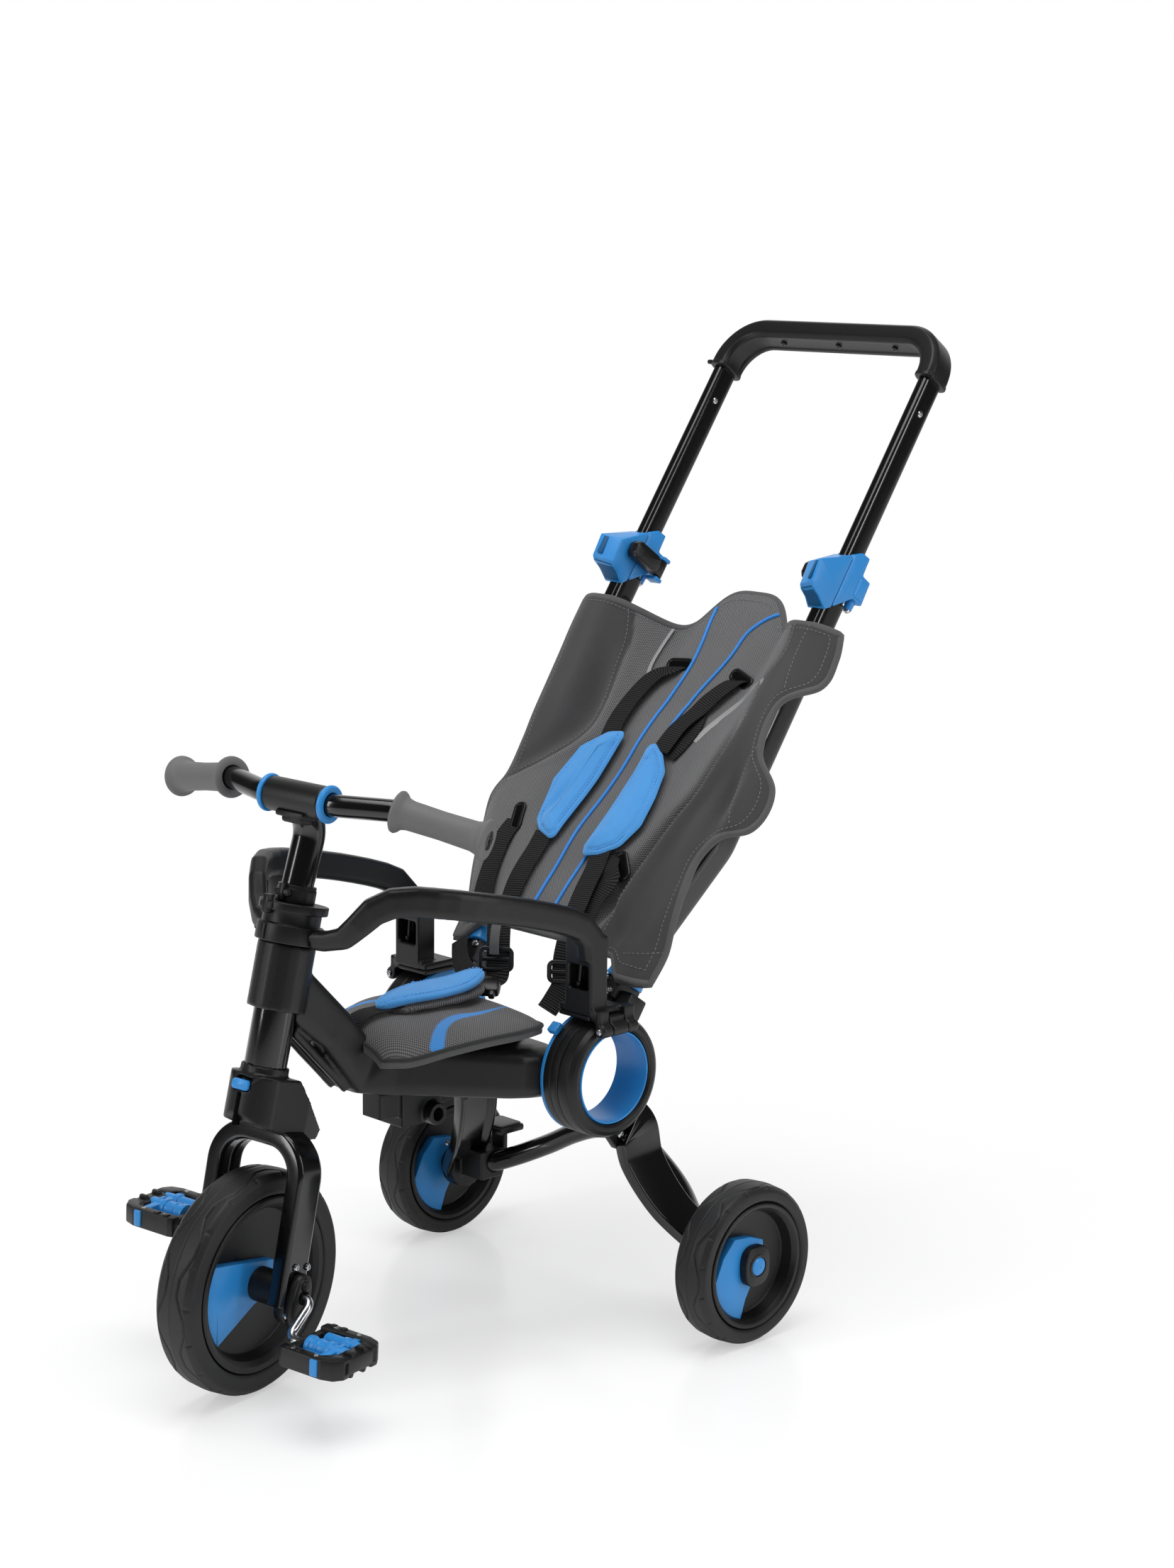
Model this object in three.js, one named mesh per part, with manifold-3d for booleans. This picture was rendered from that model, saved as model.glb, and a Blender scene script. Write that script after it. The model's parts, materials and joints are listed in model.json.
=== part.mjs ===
// Folding toddler push tricycle, in millimetres, +Z up.
// The front points towards -Y and the rider's left is +X.
import * as THREE from "three";
import { mergeVertices } from "three/addons/utils/BufferGeometryUtils.js";
import Module from "manifold-3d";

const wasm = await Module();
wasm.setup();

// Clearances
const seatGap = 0.3;
const turnGap = 0.5;
const overrun = 2;

// Round counts
const roundSides = 18;
const tubeSides = 12;
const wheelSides = 28;

// Main frame of reference: the rear folding hinge, whose axis runs along X
const hingeHeight = 278;
const hingeRadius = 61.5;
const hingeBore = 45;
const linerWall = 2.5;
const hingeInnerX = 105;
const flangeThick = 4;
const legBandWidth = 9.9;
const backBandWidth = 9.7;
const endRimWidth = 20.5;

// Steering column, which leans back about a point on its axis
const columnLean = THREE.MathUtils.degToRad(13.5);
const columnY = -321;
const columnRise = 42;
const columnZ = hingeHeight + columnRise;
const steerAngle = THREE.MathUtils.degToRad(11);
const steeringTubeRadius = 20.5;
const steeringTubeWall = 4.2;
const headRadius = 28;
const headBottom = 56;
const headTop = 120;
const armBandHeight = 18;
const armBandWall = 3.9;
const armBandRadius = headRadius + armBandWall;
const sleeveTop = 150;
const headFlangeRadius = 33.3;
const headFlangeHeight = 8.5;

// Wheels
const frontRadius = 110.5;
const frontWidth = 44;
const rearRadius = 82.4;
const rearWidth = 42;
const rearTrack = 454;
const rearAxleY = 106.7;
const frontTrail = 32;
const crankRadius = 4.6;
const axleStubRadius = 6;

// Backrest frame, leaning back from the hinge
const reclineAngle = THREE.MathUtils.degToRad(34.3);
const handleHalfSpacing = 147.5;
const footHalfSpacing = 104;
const backTubeSide = 9.2;
const backTubeDeep = 16;
const backTubeWall = 1.3;
const slideGap = 0.4;
const handleSide = backTubeSide - backTubeWall - slideGap;
const handleDeep = backTubeDeep - backTubeWall - slideGap;

const handleTop = 862;

// Seat beam
const seatTilt = THREE.MathUtils.degToRad(6.7);
const beamHalfThick = 27;
const beamEndY = -46;
const beamRise = 2;
const neckHalfWidth = 20;

// Finishes
const finish = (color, roughness, metalness = 0) => () =>
  new THREE.MeshStandardMaterial({ color, roughness, metalness });
const blackPlastic = finish(0x222223, 0.55);
const glossSteel = finish(0x0c0c0d, 0.2, 0.3);
const bluePlastic = finish(0x2f7fd0, 0.4);
const tyreRubber = finish(0x1b1b1c, 0.8);
const greyGrip = finish(0x6a6a6b, 0.7);
const silverSteel = finish(0xb9bcc0, 0.3, 0.9);
const greyFabric = finish(0x575757, 0.95);
const blueFabric = finish(0x3b86d9, 0.9);

// A closed geometry as a solid, with its faces pointing out
function solid(geometry) {
  const bare = geometry.clone();
  bare.deleteAttribute("normal");
  bare.deleteAttribute("uv");
  const merged = mergeVertices(bare);
  const vertProperties = Float32Array.from(merged.getAttribute("position").array);
  const triVerts = Uint32Array.from(merged.index.array);
  const made = new wasm.Manifold(new wasm.Mesh({ numProp: 3, vertProperties, triVerts }));
  if (made.volume() >= 0) return made;
  for (let i = 0; i < triVerts.length; i += 3) {
    [triVerts[i + 1], triVerts[i + 2]] = [triVerts[i + 2], triVerts[i + 1]];
  }
  return new wasm.Manifold(new wasm.Mesh({ numProp: 3, vertProperties, triVerts }));
}

// A solid as a geometry
function geometryOf(body) {
  const mesh = body.getMesh();
  const points = new Float32Array(mesh.numVert * 3);
  for (let i = 0; i < mesh.numVert; i++) {
    points.set(mesh.vertProperties.subarray(i * mesh.numProp, i * mesh.numProp + 3), i * 3);
  }
  const geometry = new THREE.BufferGeometry();
  geometry.setAttribute("position", new THREE.BufferAttribute(points, 3));
  geometry.setIndex(new THREE.BufferAttribute(mesh.triVerts, 1));
  geometry.computeVertexNormals();
  return geometry;
}

const join = (...pieces) => pieces.map(solid).reduce((a, b) => a.add(b));
const cut = (body, ...tools) => tools.map(solid).reduce((a, b) => a.subtract(b), body);

const largestOf = (body) => body.decompose().sort((a, b) => b.volume() - a.volume())[0];

function place(group, name, body, look) {
  const mesh = new THREE.Mesh(geometryOf(body), look());
  mesh.name = name;
  group.add(mesh);
  return mesh;
}

// The same geometry on the other side of the trike
const mirrored = (geometry) => geometry.clone().scale(-1, 1, 1);
const onSide = (side, geometry) => (side > 0 ? geometry : mirrored(geometry));
const sides = [
  ["left", 1],
  ["right", -1],
];

const vec = (x, y, z) => new THREE.Vector3(x, y, z);
const smooth = (share) => share * share * (3 - 2 * share);
const clampShare = (share) => Math.min(1, Math.max(0, share));

function box(x0, x1, y0, y1, z0, z1) {
  const made = new THREE.BoxGeometry(x1 - x0, y1 - y0, z1 - z0);
  return made.translate((x0 + x1) / 2, (y0 + y1) / 2, (z0 + z1) / 2);
}

// Turned shapes: each profile point is a place along the axis and a radius
function turned(profile, segments = roundSides) {
  const points = profile.map(([along, radius]) => new THREE.Vector2(radius, along));
  return new THREE.LatheGeometry(points, segments);
}
const turnedX = (profile, segments) => turned(profile, segments).rotateZ(-Math.PI / 2);
const turnedY = (profile, segments) => turned(profile, segments);
const turnedZ = (profile, segments) => turned(profile, segments).rotateX(Math.PI / 2);

const pinProfile = (from, to, radius) => [
  [from, 0],
  [from, radius],
  [to, radius],
  [to, 0],
];
const ringProfile = (from, to, inner, outer) => [
  [from, inner],
  [from, outer],
  [to, outer],
  [to, inner],
  [from, inner],
];

// One closed loop of points round a centre: power 1 is an ellipse, less is squarer
function oval(centre, across, out, halfAcross, halfOut, count, power) {
  return Array.from({ length: count }, (_, i) => {
    const angle = ((i + 0.5) / count) * 2 * Math.PI;
    const round = (value) => Math.sign(value) * Math.abs(value) ** power;
    return centre
      .clone()
      .addScaledVector(across, halfAcross * round(Math.cos(angle)))
      .addScaledVector(out, halfOut * round(Math.sin(angle)));
  });
}

// A closed skin over a row of loops, with flat ends
function loft(rings) {
  const count = rings[0].length;
  const points = rings.flat();
  const faces = [];
  for (let r = 0; r + 1 < rings.length; r++) {
    for (let i = 0; i < count; i++) {
      const a = r * count + i;
      const b = r * count + ((i + 1) % count);
      faces.push(a, b, b + count, a, b + count, a + count);
    }
  }
  // Each end is closed by a strip between the two halves of its loop
  const end = (rings.length - 1) * count;
  for (let i = 0; i + 1 < count / 2; i++) {
    const a = i;
    const b = i + 1;
    const c = count - 2 - i;
    const d = count - 1 - i;
    if (b < c) faces.push(a, c, b, end + a, end + b, end + c);
    faces.push(a, d, c, end + a, end + c, end + d);
  }
  const geometry = new THREE.BufferGeometry().setFromPoints(points);
  geometry.setIndex(faces);
  return geometry;
}

// An oval section carried along a curve; lie gives the direction of its first half-width
function sweep(curve, steps, halfAcross, halfOut, lie, options = {}) {
  const { count = tubeSides, power = 1, swell = () => 1, tall = () => 1 } = options;
  const rings = [];
  for (let i = 0; i <= steps; i++) {
    const along = curve.getTangentAt(i / steps);
    const across = lie(along).normalize();
    const out = new THREE.Vector3().crossVectors(across, along).normalize();
    const wide = halfAcross * swell(i / steps);
    const high = halfOut * swell(i / steps) * tall(i / steps);
    rings.push(oval(curve.getPointAt(i / steps), across, out, wide, high, count, power));
  }
  return loft(rings);
}
// Places along a path with straight runs and rounded corners
function bentPath(corners, radius, bendSteps = 5) {
  const points = corners.map((p) => vec(...p));
  const last = points.length - 1;
  const ahead = (i) => points[i + 1].clone().sub(points[i]).normalize();
  const places = [{ at: points[0], along: ahead(0) }];
  for (let i = 1; i < last; i++) {
    const from = ahead(i - 1);
    const to = ahead(i);
    const turn = from.angleTo(to);
    const inset = radius * Math.tan(turn / 2);
    const towards = to.clone().sub(from).normalize();
    const centre = points[i].clone().addScaledVector(towards, radius / Math.cos(turn / 2));
    for (let step = 0; step <= bendSteps; step++) {
      const angle = turn * (step / bendSteps - 1 / 2);
      const radial = towards.clone().multiplyScalar(-Math.cos(angle));
      const sidewise = from.clone().add(to).normalize();
      radial.addScaledVector(sidewise, Math.sin(angle));
      const along = sidewise.clone().multiplyScalar(Math.cos(angle));
      along.addScaledVector(towards, Math.sin(angle));
      if (inset > 0) places.push({ at: centre.clone().addScaledVector(radial, radius), along });
    }
  }
  places.push({ at: points[last], along: ahead(last - 1) });
  return places;
}
// An oval section carried along such a path
function tubeAlong(places, halfAcross, halfOut, lie, options = {}) {
  const { count = tubeSides, power = 1 } = options;
  return loft(
    places.map(({ at, along }) => {
      const across = lie(along).normalize();
      const out = new THREE.Vector3().crossVectors(across, along).normalize();
      return oval(at, across, out, halfAcross, halfOut, count, power);
    }),
  );
}
const through = (points) =>
  new THREE.CatmullRomCurve3(points.map((p) => vec(...p)), false, "centripetal");
// The part of a fixed direction that is square to the path
const squareTo = (direction) => (along) =>
  direction.clone().addScaledVector(along, -direction.dot(along));
const level = (along) => new THREE.Vector3().crossVectors(along, vec(0, 0, 1));

// A flat outline of [y, z] points, as thick as the space between two places along X
function plateX(outline, x0, x1) {
  const flat = new THREE.Shape(outline.map(([y, z]) => new THREE.Vector2(y, z)));
  const made = new THREE.ExtrudeGeometry(flat, { depth: x1 - x0, bevelEnabled: false });
  // The extrusion's X, Y and Z become Y, Z and X
  const basis = new THREE.Matrix4().makeBasis(vec(0, 1, 0), vec(0, 0, 1), vec(1, 0, 0));
  return made.applyMatrix4(basis).translate(x0, 0, 0);
}

const trike = new THREE.Group();
const hinge = new THREE.Group();
hinge.position.z = hingeHeight;
trike.add(hinge);
const column = new THREE.Group();
column.position.set(0, columnY, columnZ);
column.rotation.x = -columnLean;
trike.add(column);
const steering = new THREE.Group();
steering.rotation.z = steerAngle;
column.add(steering);

// Places along X of the hinge's bands, from the beam outwards
const legBandX = hingeInnerX + flangeThick + seatGap;
const backBandX = legBandX + legBandWidth + seatGap;
const endRimX = backBandX + backBandWidth + seatGap;
const hingeOuterX = endRimX + endRimWidth;
const bandInner = hingeBore + linerWall + seatGap;

// Seat beam: a shell that runs down from the steering head and back to the two hinge rings
function columnMatrix() {
  const lean = new THREE.Matrix4().makeRotationX(-columnLean);
  return lean.setPosition(0, columnY, columnZ);
}
const inColumn = (geometry) => geometry.applyMatrix4(columnMatrix());

// Height of the beam's middle line over the ground at a place along Y
const beamMiddle = (y) => hingeHeight + beamRise - Math.tan(seatTilt) * (y - beamEndY);
const beamTop = (y) => beamMiddle(y) + beamHalfThick / Math.cos(seatTilt);
const beamBottom = (y) => beamMiddle(y) - beamHalfThick / Math.cos(seatTilt);

// Adds the hinge's height to the heights in a table, which stand at the given place in each row
const overHinge = (rows, place) =>
  rows.map((row) => row.map((value, i) => (i === place ? value + hingeHeight : value)));
// Stations of the neck: place along Y, height over the hinge, half thickness and half width
const neckStations = overHinge(
  [
    [-300, 117, 26, 20],
    [-246, 67, 22, 20],
  ],
  1,
);
const neckStart = neckStations[0];
const bendY = -212;
const bendHalfThick = 25;
const bendHalfWidth = 24;
// Stations of the seat beam: place along Y and half width
const beamStations = [
  [-185, 34],
  [-150, 55],
  [-110, 82],
  [-80, 100],
  [-62, hingeInnerX - seatGap],
  [-30, hingeInnerX - seatGap],
];
const beamSides = 24;
const beamPower = 0.32;
const across = vec(1, 0, 0);
const neckSlope = vec(0, bendY - neckStart[0], beamMiddle(bendY) - neckStart[1]).normalize();
const neckOut = vec(0, -neckSlope.z, neckSlope.y);
const beamOut = vec(0, Math.sin(seatTilt), Math.cos(seatTilt));
function beamShell(extra = 0) {
  const ring = (y, z, out, halfWidth, halfThick) =>
    oval(vec(0, y, z), across, out, halfWidth + extra, halfThick + extra, beamSides, beamPower);
  const bendOut = neckOut.clone().add(beamOut).normalize();
  return loft([
    ...neckStations.map(([y, z, thick, wide]) => ring(y, z, neckOut, wide, thick)),
    ring(bendY, beamMiddle(bendY), bendOut, bendHalfWidth, bendHalfThick),
    ...beamStations.map(([y, wide]) => ring(y, beamMiddle(y), beamOut, wide, beamHalfThick)),
  ]);
}

// Rounded bumper strips along the lower edges of the neck
const stripRadius = 5;
const stripHalfSpacing = 10;
const stripStart = 34;
function bumperStrip(side) {
  const x = side * stripHalfSpacing;
  const under = (y, z, thick) => vec(x, y, z).addScaledVector(neckOut, -thick);
  const from = under(neckStart[0], neckStart[1], neckStart[2]).addScaledVector(neckSlope, stripStart);
  const to = under(bendY, beamMiddle(bendY), bendHalfThick);
  return sweep(new THREE.LineCurve3(from, to), 1, stripRadius, stripRadius, squareTo(across), {
    count: 8,
  });
}

// Black block that carries the cushion on the beam
const seatMountHalfWidth = 60;
const seatMountFrontY = -130;
const seatMountRearY = -45;
const seatMountHeight = 10;
function seatMount(extra = 0) {
  const front = seatMountFrontY - extra;
  const rear = seatMountRearY + extra;
  const outline = [
    [front, beamMiddle(front)],
    [rear, beamMiddle(rear)],
    [rear, beamTop(rear) + seatMountHeight + extra],
    [front, beamTop(front) + seatMountHeight + extra],
  ];
  return plateX(outline, -seatMountHalfWidth - extra, seatMountHalfWidth + extra);
}

const headBoreRadius = steeringTubeRadius + turnGap;
const head = inColumn(turnedZ(pinProfile(headBottom, headTop, headRadius)));
const headBore = inColumn(turnedZ(pinProfile(headBottom - overrun, headTop + overrun, headBoreRadius)));
const beamBody = join(beamShell(), head, bumperStrip(1), bumperStrip(-1), seatMount());
// The neck meets the housing only behind its bore and below its rim
const headRoom = inColumn(
  turnedZ(pinProfile(headTop, headTop + armBandHeight * 2, armBandRadius + seatGap)),
);
const headFoot = inColumn(
  turnedZ(pinProfile(headBottom - armBandHeight * 2, headBottom, headBoreRadius)),
);
place(trike, "main_beam", cut(beamBody, headBore, headRoom, headFoot), blackPlastic);

// Collar on the head: a ring that the arms' front ends meet, a sleeve and a broad flange
const stemRadius = 15.8;
const collarInner = steeringTubeRadius + turnGap;
place(
  column,
  "head_collar",
  solid(
    turnedZ([
      [headTop + seatGap, collarInner],
      [headTop + seatGap, armBandRadius],
      [headTop + armBandHeight, armBandRadius],
      [headTop + armBandHeight, headRadius],
      [sleeveTop, headRadius],
      [sleeveTop, headFlangeRadius],
      [sleeveTop + headFlangeHeight, headFlangeRadius],
      [sleeveTop + headFlangeHeight, stemRadius + turnGap],
      [sleeveTop + headFlangeHeight / 3, stemRadius + turnGap],
      [sleeveTop + headFlangeHeight / 3, collarInner],
      [headTop + seatGap, collarInner],
    ]),
  ),
  blackPlastic,
);

// Footrest block under the beam, with a socket right through it
const footrestFrontDrop = 36;
const footrestRearDrop = 48;
const footrestHalfWidth = 14;
const footrestWideHalf = 18;
const footrestFrontY = -190;
const footrestStepY = -165;
const footrestRearY = -115;
const footrestFrontZ = hingeHeight - footrestFrontDrop;
const footrestRearZ = hingeHeight - footrestRearDrop;
const socketHalfWidth = 30;
const socketRadius = 11.5;
const socketBore = 6.5;
const socketY = -128;
const socketDrop = 38;
const socketZ = hingeHeight - socketDrop;
function footrestBlock() {
  const under = (y) => beamBottom(y) - seatGap * 2;
  const plate = (y0, y1, z, half) =>
    plateX(
      [
        [y0, under(y0)],
        [y0, z],
        [y1, z],
        [y1, under(y1)],
      ],
      -half,
      half,
    );
  const body = join(
    plate(footrestFrontY, footrestRearY, footrestFrontZ, footrestHalfWidth),
    plate(footrestStepY, footrestRearY, footrestRearZ, footrestWideHalf),
    turnedX(pinProfile(-socketHalfWidth, socketHalfWidth, socketRadius)).translate(0, socketY, socketZ),
  );
  const reach = socketHalfWidth + overrun;
  return cut(body, turnedX(pinProfile(-reach, reach, socketBore)).translate(0, socketY, socketZ));
}
place(trike, "footrest_block", footrestBlock(), blackPlastic);

// Hinge rings: a blue core with the bands that turn on it and a fixed rim
for (const [name, side] of sides) {
  const core = turnedX(
    [
      [hingeInnerX, hingeBore],
      [hingeInnerX, hingeRadius],
      [hingeInnerX + flangeThick, hingeRadius],
      [hingeInnerX + flangeThick, hingeBore + linerWall],
      [hingeOuterX - flangeThick, hingeBore + linerWall],
      [hingeOuterX - flangeThick, hingeBore],
      [hingeInnerX, hingeBore],
    ],
    wheelSides,
  );
  place(hinge, name + "_hinge_core", solid(onSide(side, core)), bluePlastic);
  const rimRound = 5;
  const rim = turnedX(
    [
      [endRimX, bandInner],
      [endRimX, hingeRadius],
      [hingeOuterX - rimRound, hingeRadius],
      [hingeOuterX, hingeRadius - rimRound],
      [hingeOuterX, bandInner + rimRound / 2],
      [hingeOuterX - rimRound / 2, bandInner],
      [endRimX, bandInner],
    ],
    wheelSides,
  );
  place(hinge, name + "_end_rim", solid(onSide(side, rim)), blackPlastic);
}

// Fold latch tabs that slide in the flange's top
const latchWidth = 12;
const latchLong = 12;
const latchInset = 5;
const latchHeight = 7;
const latchAngle = THREE.MathUtils.degToRad(40);
for (const [name, side] of sides) {
  const x0 = hingeInnerX - latchInset;
  const bottom = hingeRadius + seatGap;
  const tab = box(x0, x0 + latchLong, -latchWidth / 2, latchWidth / 2, bottom, bottom + latchHeight);
  place(hinge, name + "_fold_latch", solid(onSide(side, tab.rotateX(latchAngle))), bluePlastic);
}

// Safety arms: each base sits on its ring, and its arm swings outwards about the barrel
const baseInnerX = 100;
const baseOuterX = 143;
const baseFrontY = -32;
const baseRearY = 10;
const baseThick = 5;
const barrelX = 157.3;
const barrelRadius = 7;
const barrelDrop = 7.5;
const barrelHalfLong = 10;
const knuckleLong = 14;
const barrelMiddleY = -7;
const barrelZ = hingeHeight + hingeRadius - barrelDrop;
const baseBottom = hingeHeight + hingeRadius + seatGap;
const baseTop = baseBottom + baseThick;
// The webs hang outside the hinge's rim
const webX = hingeOuterX + seatGap;
for (const [name, side] of sides) {
  const y0 = barrelMiddleY - barrelHalfLong;
  const y1 = barrelMiddleY + barrelHalfLong;
  const body = join(
    onSide(side, box(baseInnerX, baseOuterX, baseFrontY, baseRearY, baseBottom, baseTop)),
    onSide(side, box(baseOuterX - overrun, barrelX, y0, y1, baseBottom, baseTop)),
    onSide(side, box(webX, barrelX, y0, y1, barrelZ, baseTop)),
    onSide(side, turnedY(pinProfile(y0, y1, barrelRadius)).translate(barrelX, 0, barrelZ)),
  );
  place(trike, name + "_arm_base", body, blackPlastic);
}

const armX = 138;
const armHalfThick = 9;
const armHalfTall = 14.5;
const postInnerX = 110;
const postOuterX = 147;
const postFrontY = -33;
const postRearY = -10;
const postWall = 5;
const postPanelHeight = 18;
const armPlateThick = 7;
const postRise = 146;
const postTop = hingeHeight + postRise;
// Middle line of an arm from the post forward to the ring on the head, with heights over the hinge
const armRoute = overHinge(
  [
    [armX, -22, 124],
    [armX, -24, 138],
    [armX, -32, 152],
    [armX, -50, 163],
    [armX, -107, 181.5],
    [134, -170, 196.5],
    [124, -209, 204.5],
    [108, -238, 208],
    [94, -253, 204],
    [82, -264, 193],
    [72, -271, 179],
    [60, -276, 169.5],
    [46, -281, 166],
    [24, -287, 165],
  ],
  2,
);
const armSteps = 18;
// The arm is lower where it meets the head
const armSlimFrom = 0.72;
const armSlim = 0.38;
const armTall = (share) => 1 - armSlim * smooth(clampShare((share - armSlimFrom) / (1 - armSlimFrom)));
function safetyArm() {
  const plateBottom = baseTop + seatGap;
  const plateTop = plateBottom + armPlateThick;
  const knuckle = (y0, y1) => [
    turnedY(pinProfile(y0, y1, barrelRadius)).translate(barrelX, 0, barrelZ),
    box(baseOuterX + seatGap * 2, barrelX, y0, y1, baseBottom + seatGap, plateTop),
    box(webX, barrelX, y0, y1, barrelZ, plateTop),
  ];
  const front = barrelMiddleY - barrelHalfLong - seatGap;
  const rear = barrelMiddleY + barrelHalfLong + seatGap;
  const arm = join(
    box(baseInnerX, baseOuterX + barrelRadius, baseFrontY, baseRearY, plateBottom, plateTop),
    ...knuckle(front - knuckleLong, front),
    ...knuckle(rear, rear + knuckleLong),
    box(postInnerX, postInnerX + postWall, postFrontY, postRearY, plateBottom, postTop),
    box(postOuterX - postWall, postOuterX, postFrontY, postRearY, plateBottom, postTop),
    box(postInnerX, postOuterX, postRearY - postWall, postRearY, plateBottom, postTop),
    box(postInnerX, postOuterX, postFrontY, postFrontY + postWall, plateBottom, plateTop + postPanelHeight),
    box(postInnerX, postOuterX, postFrontY, postRearY, postTop - armHalfTall * 2, postTop),
    sweep(through(armRoute), armSteps, armHalfThick, armHalfTall, level, { power: 0.5, tall: armTall }),
  );
  const headRoomInner = inColumn(
    turnedZ(pinProfile(headBottom, sleeveTop * 2, armBandRadius + seatGap), wheelSides),
  );
  return geometryOf(largestOf(cut(arm, headRoomInner)));
}
const leftArm = safetyArm();
for (const [name, side] of sides) {
  place(trike, name + "_safety_arm", solid(onSide(side, leftArm)), blackPlastic);
}

// Rear frame: bands on the hinge, pressed legs, axle brackets and an arched cross tube
const lugHalfLong = 26;
const lugReach = 92;
const lugAngle = THREE.MathUtils.degToRad(-37);
const legHalfWide = 27;
const legHalfThick = 7;
const rearAxleZ = rearRadius - hingeHeight;
const bracketRadius = 23;
const bracketInset = 41;
const bracketInnerX = rearTrack / 2 - bracketInset;
const wheelClear = 1;
const bracketOuterX = rearTrack / 2 - rearWidth / 2 - wheelClear;
const archRadius = 11;
const archSetBack = 5.3;
const archInset = 59;
const archBlockInset = 75;
const archY = rearAxleY + archSetBack;
const archBlockInnerX = rearTrack / 2 - archBlockInset;
const archBlockWall = 5;
// Middle line of a leg from its hinge band to the axle: shares of the way out, back and down
const legFootX = 118;
const legShares = [
  [0, 0.44, 0.307],
  [0.028, 0.534, 0.368],
  [0.073, 0.59, 0.527],
  [0.294, 0.731, 0.757],
  [0.606, 0.909, 0.936],
  [0.697, 0.975, 0.992],
];
const legRoute = legShares.map(([out, back, down]) => [
  THREE.MathUtils.lerp(legFootX, rearTrack / 2, out),
  rearAxleY * back,
  rearAxleZ * down,
]);
// Middle line of the arch tube's left half, which bows up and back: place along X, back and up from the axle
const archOffsets = [
  [0, 50.3, 73.6],
  [34, 49.3, 69.6],
  [64, 45.3, 57.6],
  [100, 39.3, 37.6],
  [135, 22.3, 19.6],
  [155, 8.3, 11.6],
  [168, archSetBack, 9.6],
];
const archReach = archOffsets[archOffsets.length - 1][0];
const archRoute = archOffsets.map(([out, back, up]) => [
  (out / archReach) * (rearTrack / 2 - archInset),
  rearAxleY + back,
  rearAxleZ + up,
]);
const archEnd = archRoute[archRoute.length - 1];
// Foot brake on the right bracket
const brakeLugThick = 4;
const brakeBarrelRadius = 5;
const brakeInset = 62;
const brakeBarrelX = rearTrack / 2 - brakeInset;
const brakeBarrelHalf = 9;
const brakePivotY = archY + archRadius + archBlockWall + brakeBarrelRadius + turnGap;
const brakePivotLift = 4;
const brakePivotZ = archEnd[2] + brakePivotLift;
const brakePadInset = 12;
const brakePadForward = 8.5;
const brakePadRise = 37.1;
const brakePadX = brakeBarrelX - brakePadInset;
const brakePadY = brakePivotY - brakePadForward;
const brakePadZ = brakePivotZ + brakePadRise;
const brakePadHalf = 19;
const brakePadHalfDeep = 18;
const brakePadHalfThick = 4;
// Two lugs that hold the brake's barrel between them
function brakeLugs() {
  return [-1, 1].map((end) => {
    const from = brakeBarrelX + end * (brakeBarrelHalf + seatGap);
    const to = from + end * brakeLugThick;
    return box(
      Math.min(from, to),
      Math.max(from, to),
      archY,
      brakePivotY + brakeBarrelRadius,
      brakePivotZ - brakeBarrelRadius,
      brakePivotZ + brakeBarrelRadius,
    );
  });
}
const legTaper = (share) => 1 - 0.17 * share;
function archTube(radius) {
  const other = archRoute.slice(1).map(([x, y, z]) => [-x, y, z]);
  const curve = through([...other.reverse(), ...archRoute]);
  return sweep(curve, 24, radius, radius, squareTo(vec(0, 0, 1)));
}
// Block of an axle bracket that clamps the arch tube's end
function archBlock(extra) {
  const deep = archRadius + archBlockWall + extra;
  return box(
    archBlockInnerX - extra,
    bracketInnerX + overrun + extra,
    archY - deep,
    archY + deep,
    archEnd[2] - deep,
    archEnd[2] + deep,
  );
}
for (const [name, side] of sides) {
  const lug = box(
    legBandX,
    legBandX + legBandWidth,
    -lugHalfLong,
    lugHalfLong,
    -lugReach,
    -bandInner,
  ).rotateX(-lugAngle);
  const ring = turnedX(
    ringProfile(legBandX, legBandX + legBandWidth, bandInner, hingeRadius),
    wheelSides,
  );
  const bore = turnedX(pinProfile(0, hingeOuterX, bandInner), wheelSides);
  place(hinge, name + "_leg_band", cut(join(onSide(side, ring), onSide(side, lug)), onSide(side, bore)), blackPlastic);

  const leg = sweep(through(legRoute), 12, legHalfWide, legHalfThick, squareTo(vec(0, 1, 0)), {
    power: 0.5,
    swell: legTaper,
  });
  const lugRoom = box(
    0,
    hingeOuterX * 2,
    -hingeOuterX,
    hingeOuterX,
    -lugReach - seatGap,
    0,
  ).rotateX(-lugAngle);
  const bracketRoom = turnedX(
    pinProfile(bracketInnerX - seatGap, bracketOuterX + overrun, bracketRadius + seatGap),
  ).translate(0, rearAxleY, rearAxleZ);
  const blockRoom = archBlock(seatGap);
  const legBody = cut(
    solid(onSide(side, leg)),
    ...[lugRoom, bracketRoom, blockRoom].map((tool) => onSide(side, tool)),
  );
  place(hinge, name + "_rear_leg", largestOf(legBody), glossSteel);

  const bracketParts = [
    archBlock(0),
    turnedX(pinProfile(bracketInnerX, bracketOuterX, bracketRadius)).translate(0, rearAxleY, rearAxleZ),
    turnedX(
      pinProfile(bracketOuterX - overrun, rearTrack / 2 + rearWidth / 3, axleStubRadius),
      tubeSides,
    ).translate(0, rearAxleY, rearAxleZ),
  ];
  if (side < 0) bracketParts.push(...brakeLugs());
  place(
    hinge,
    name + "_axle_bracket",
    cut(join(...bracketParts.map((piece) => onSide(side, piece))), archTube(archRadius + seatGap)),
    blackPlastic,
  );
}
place(hinge, "rear_arch_tube", solid(archTube(archRadius)), glossSteel);

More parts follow.
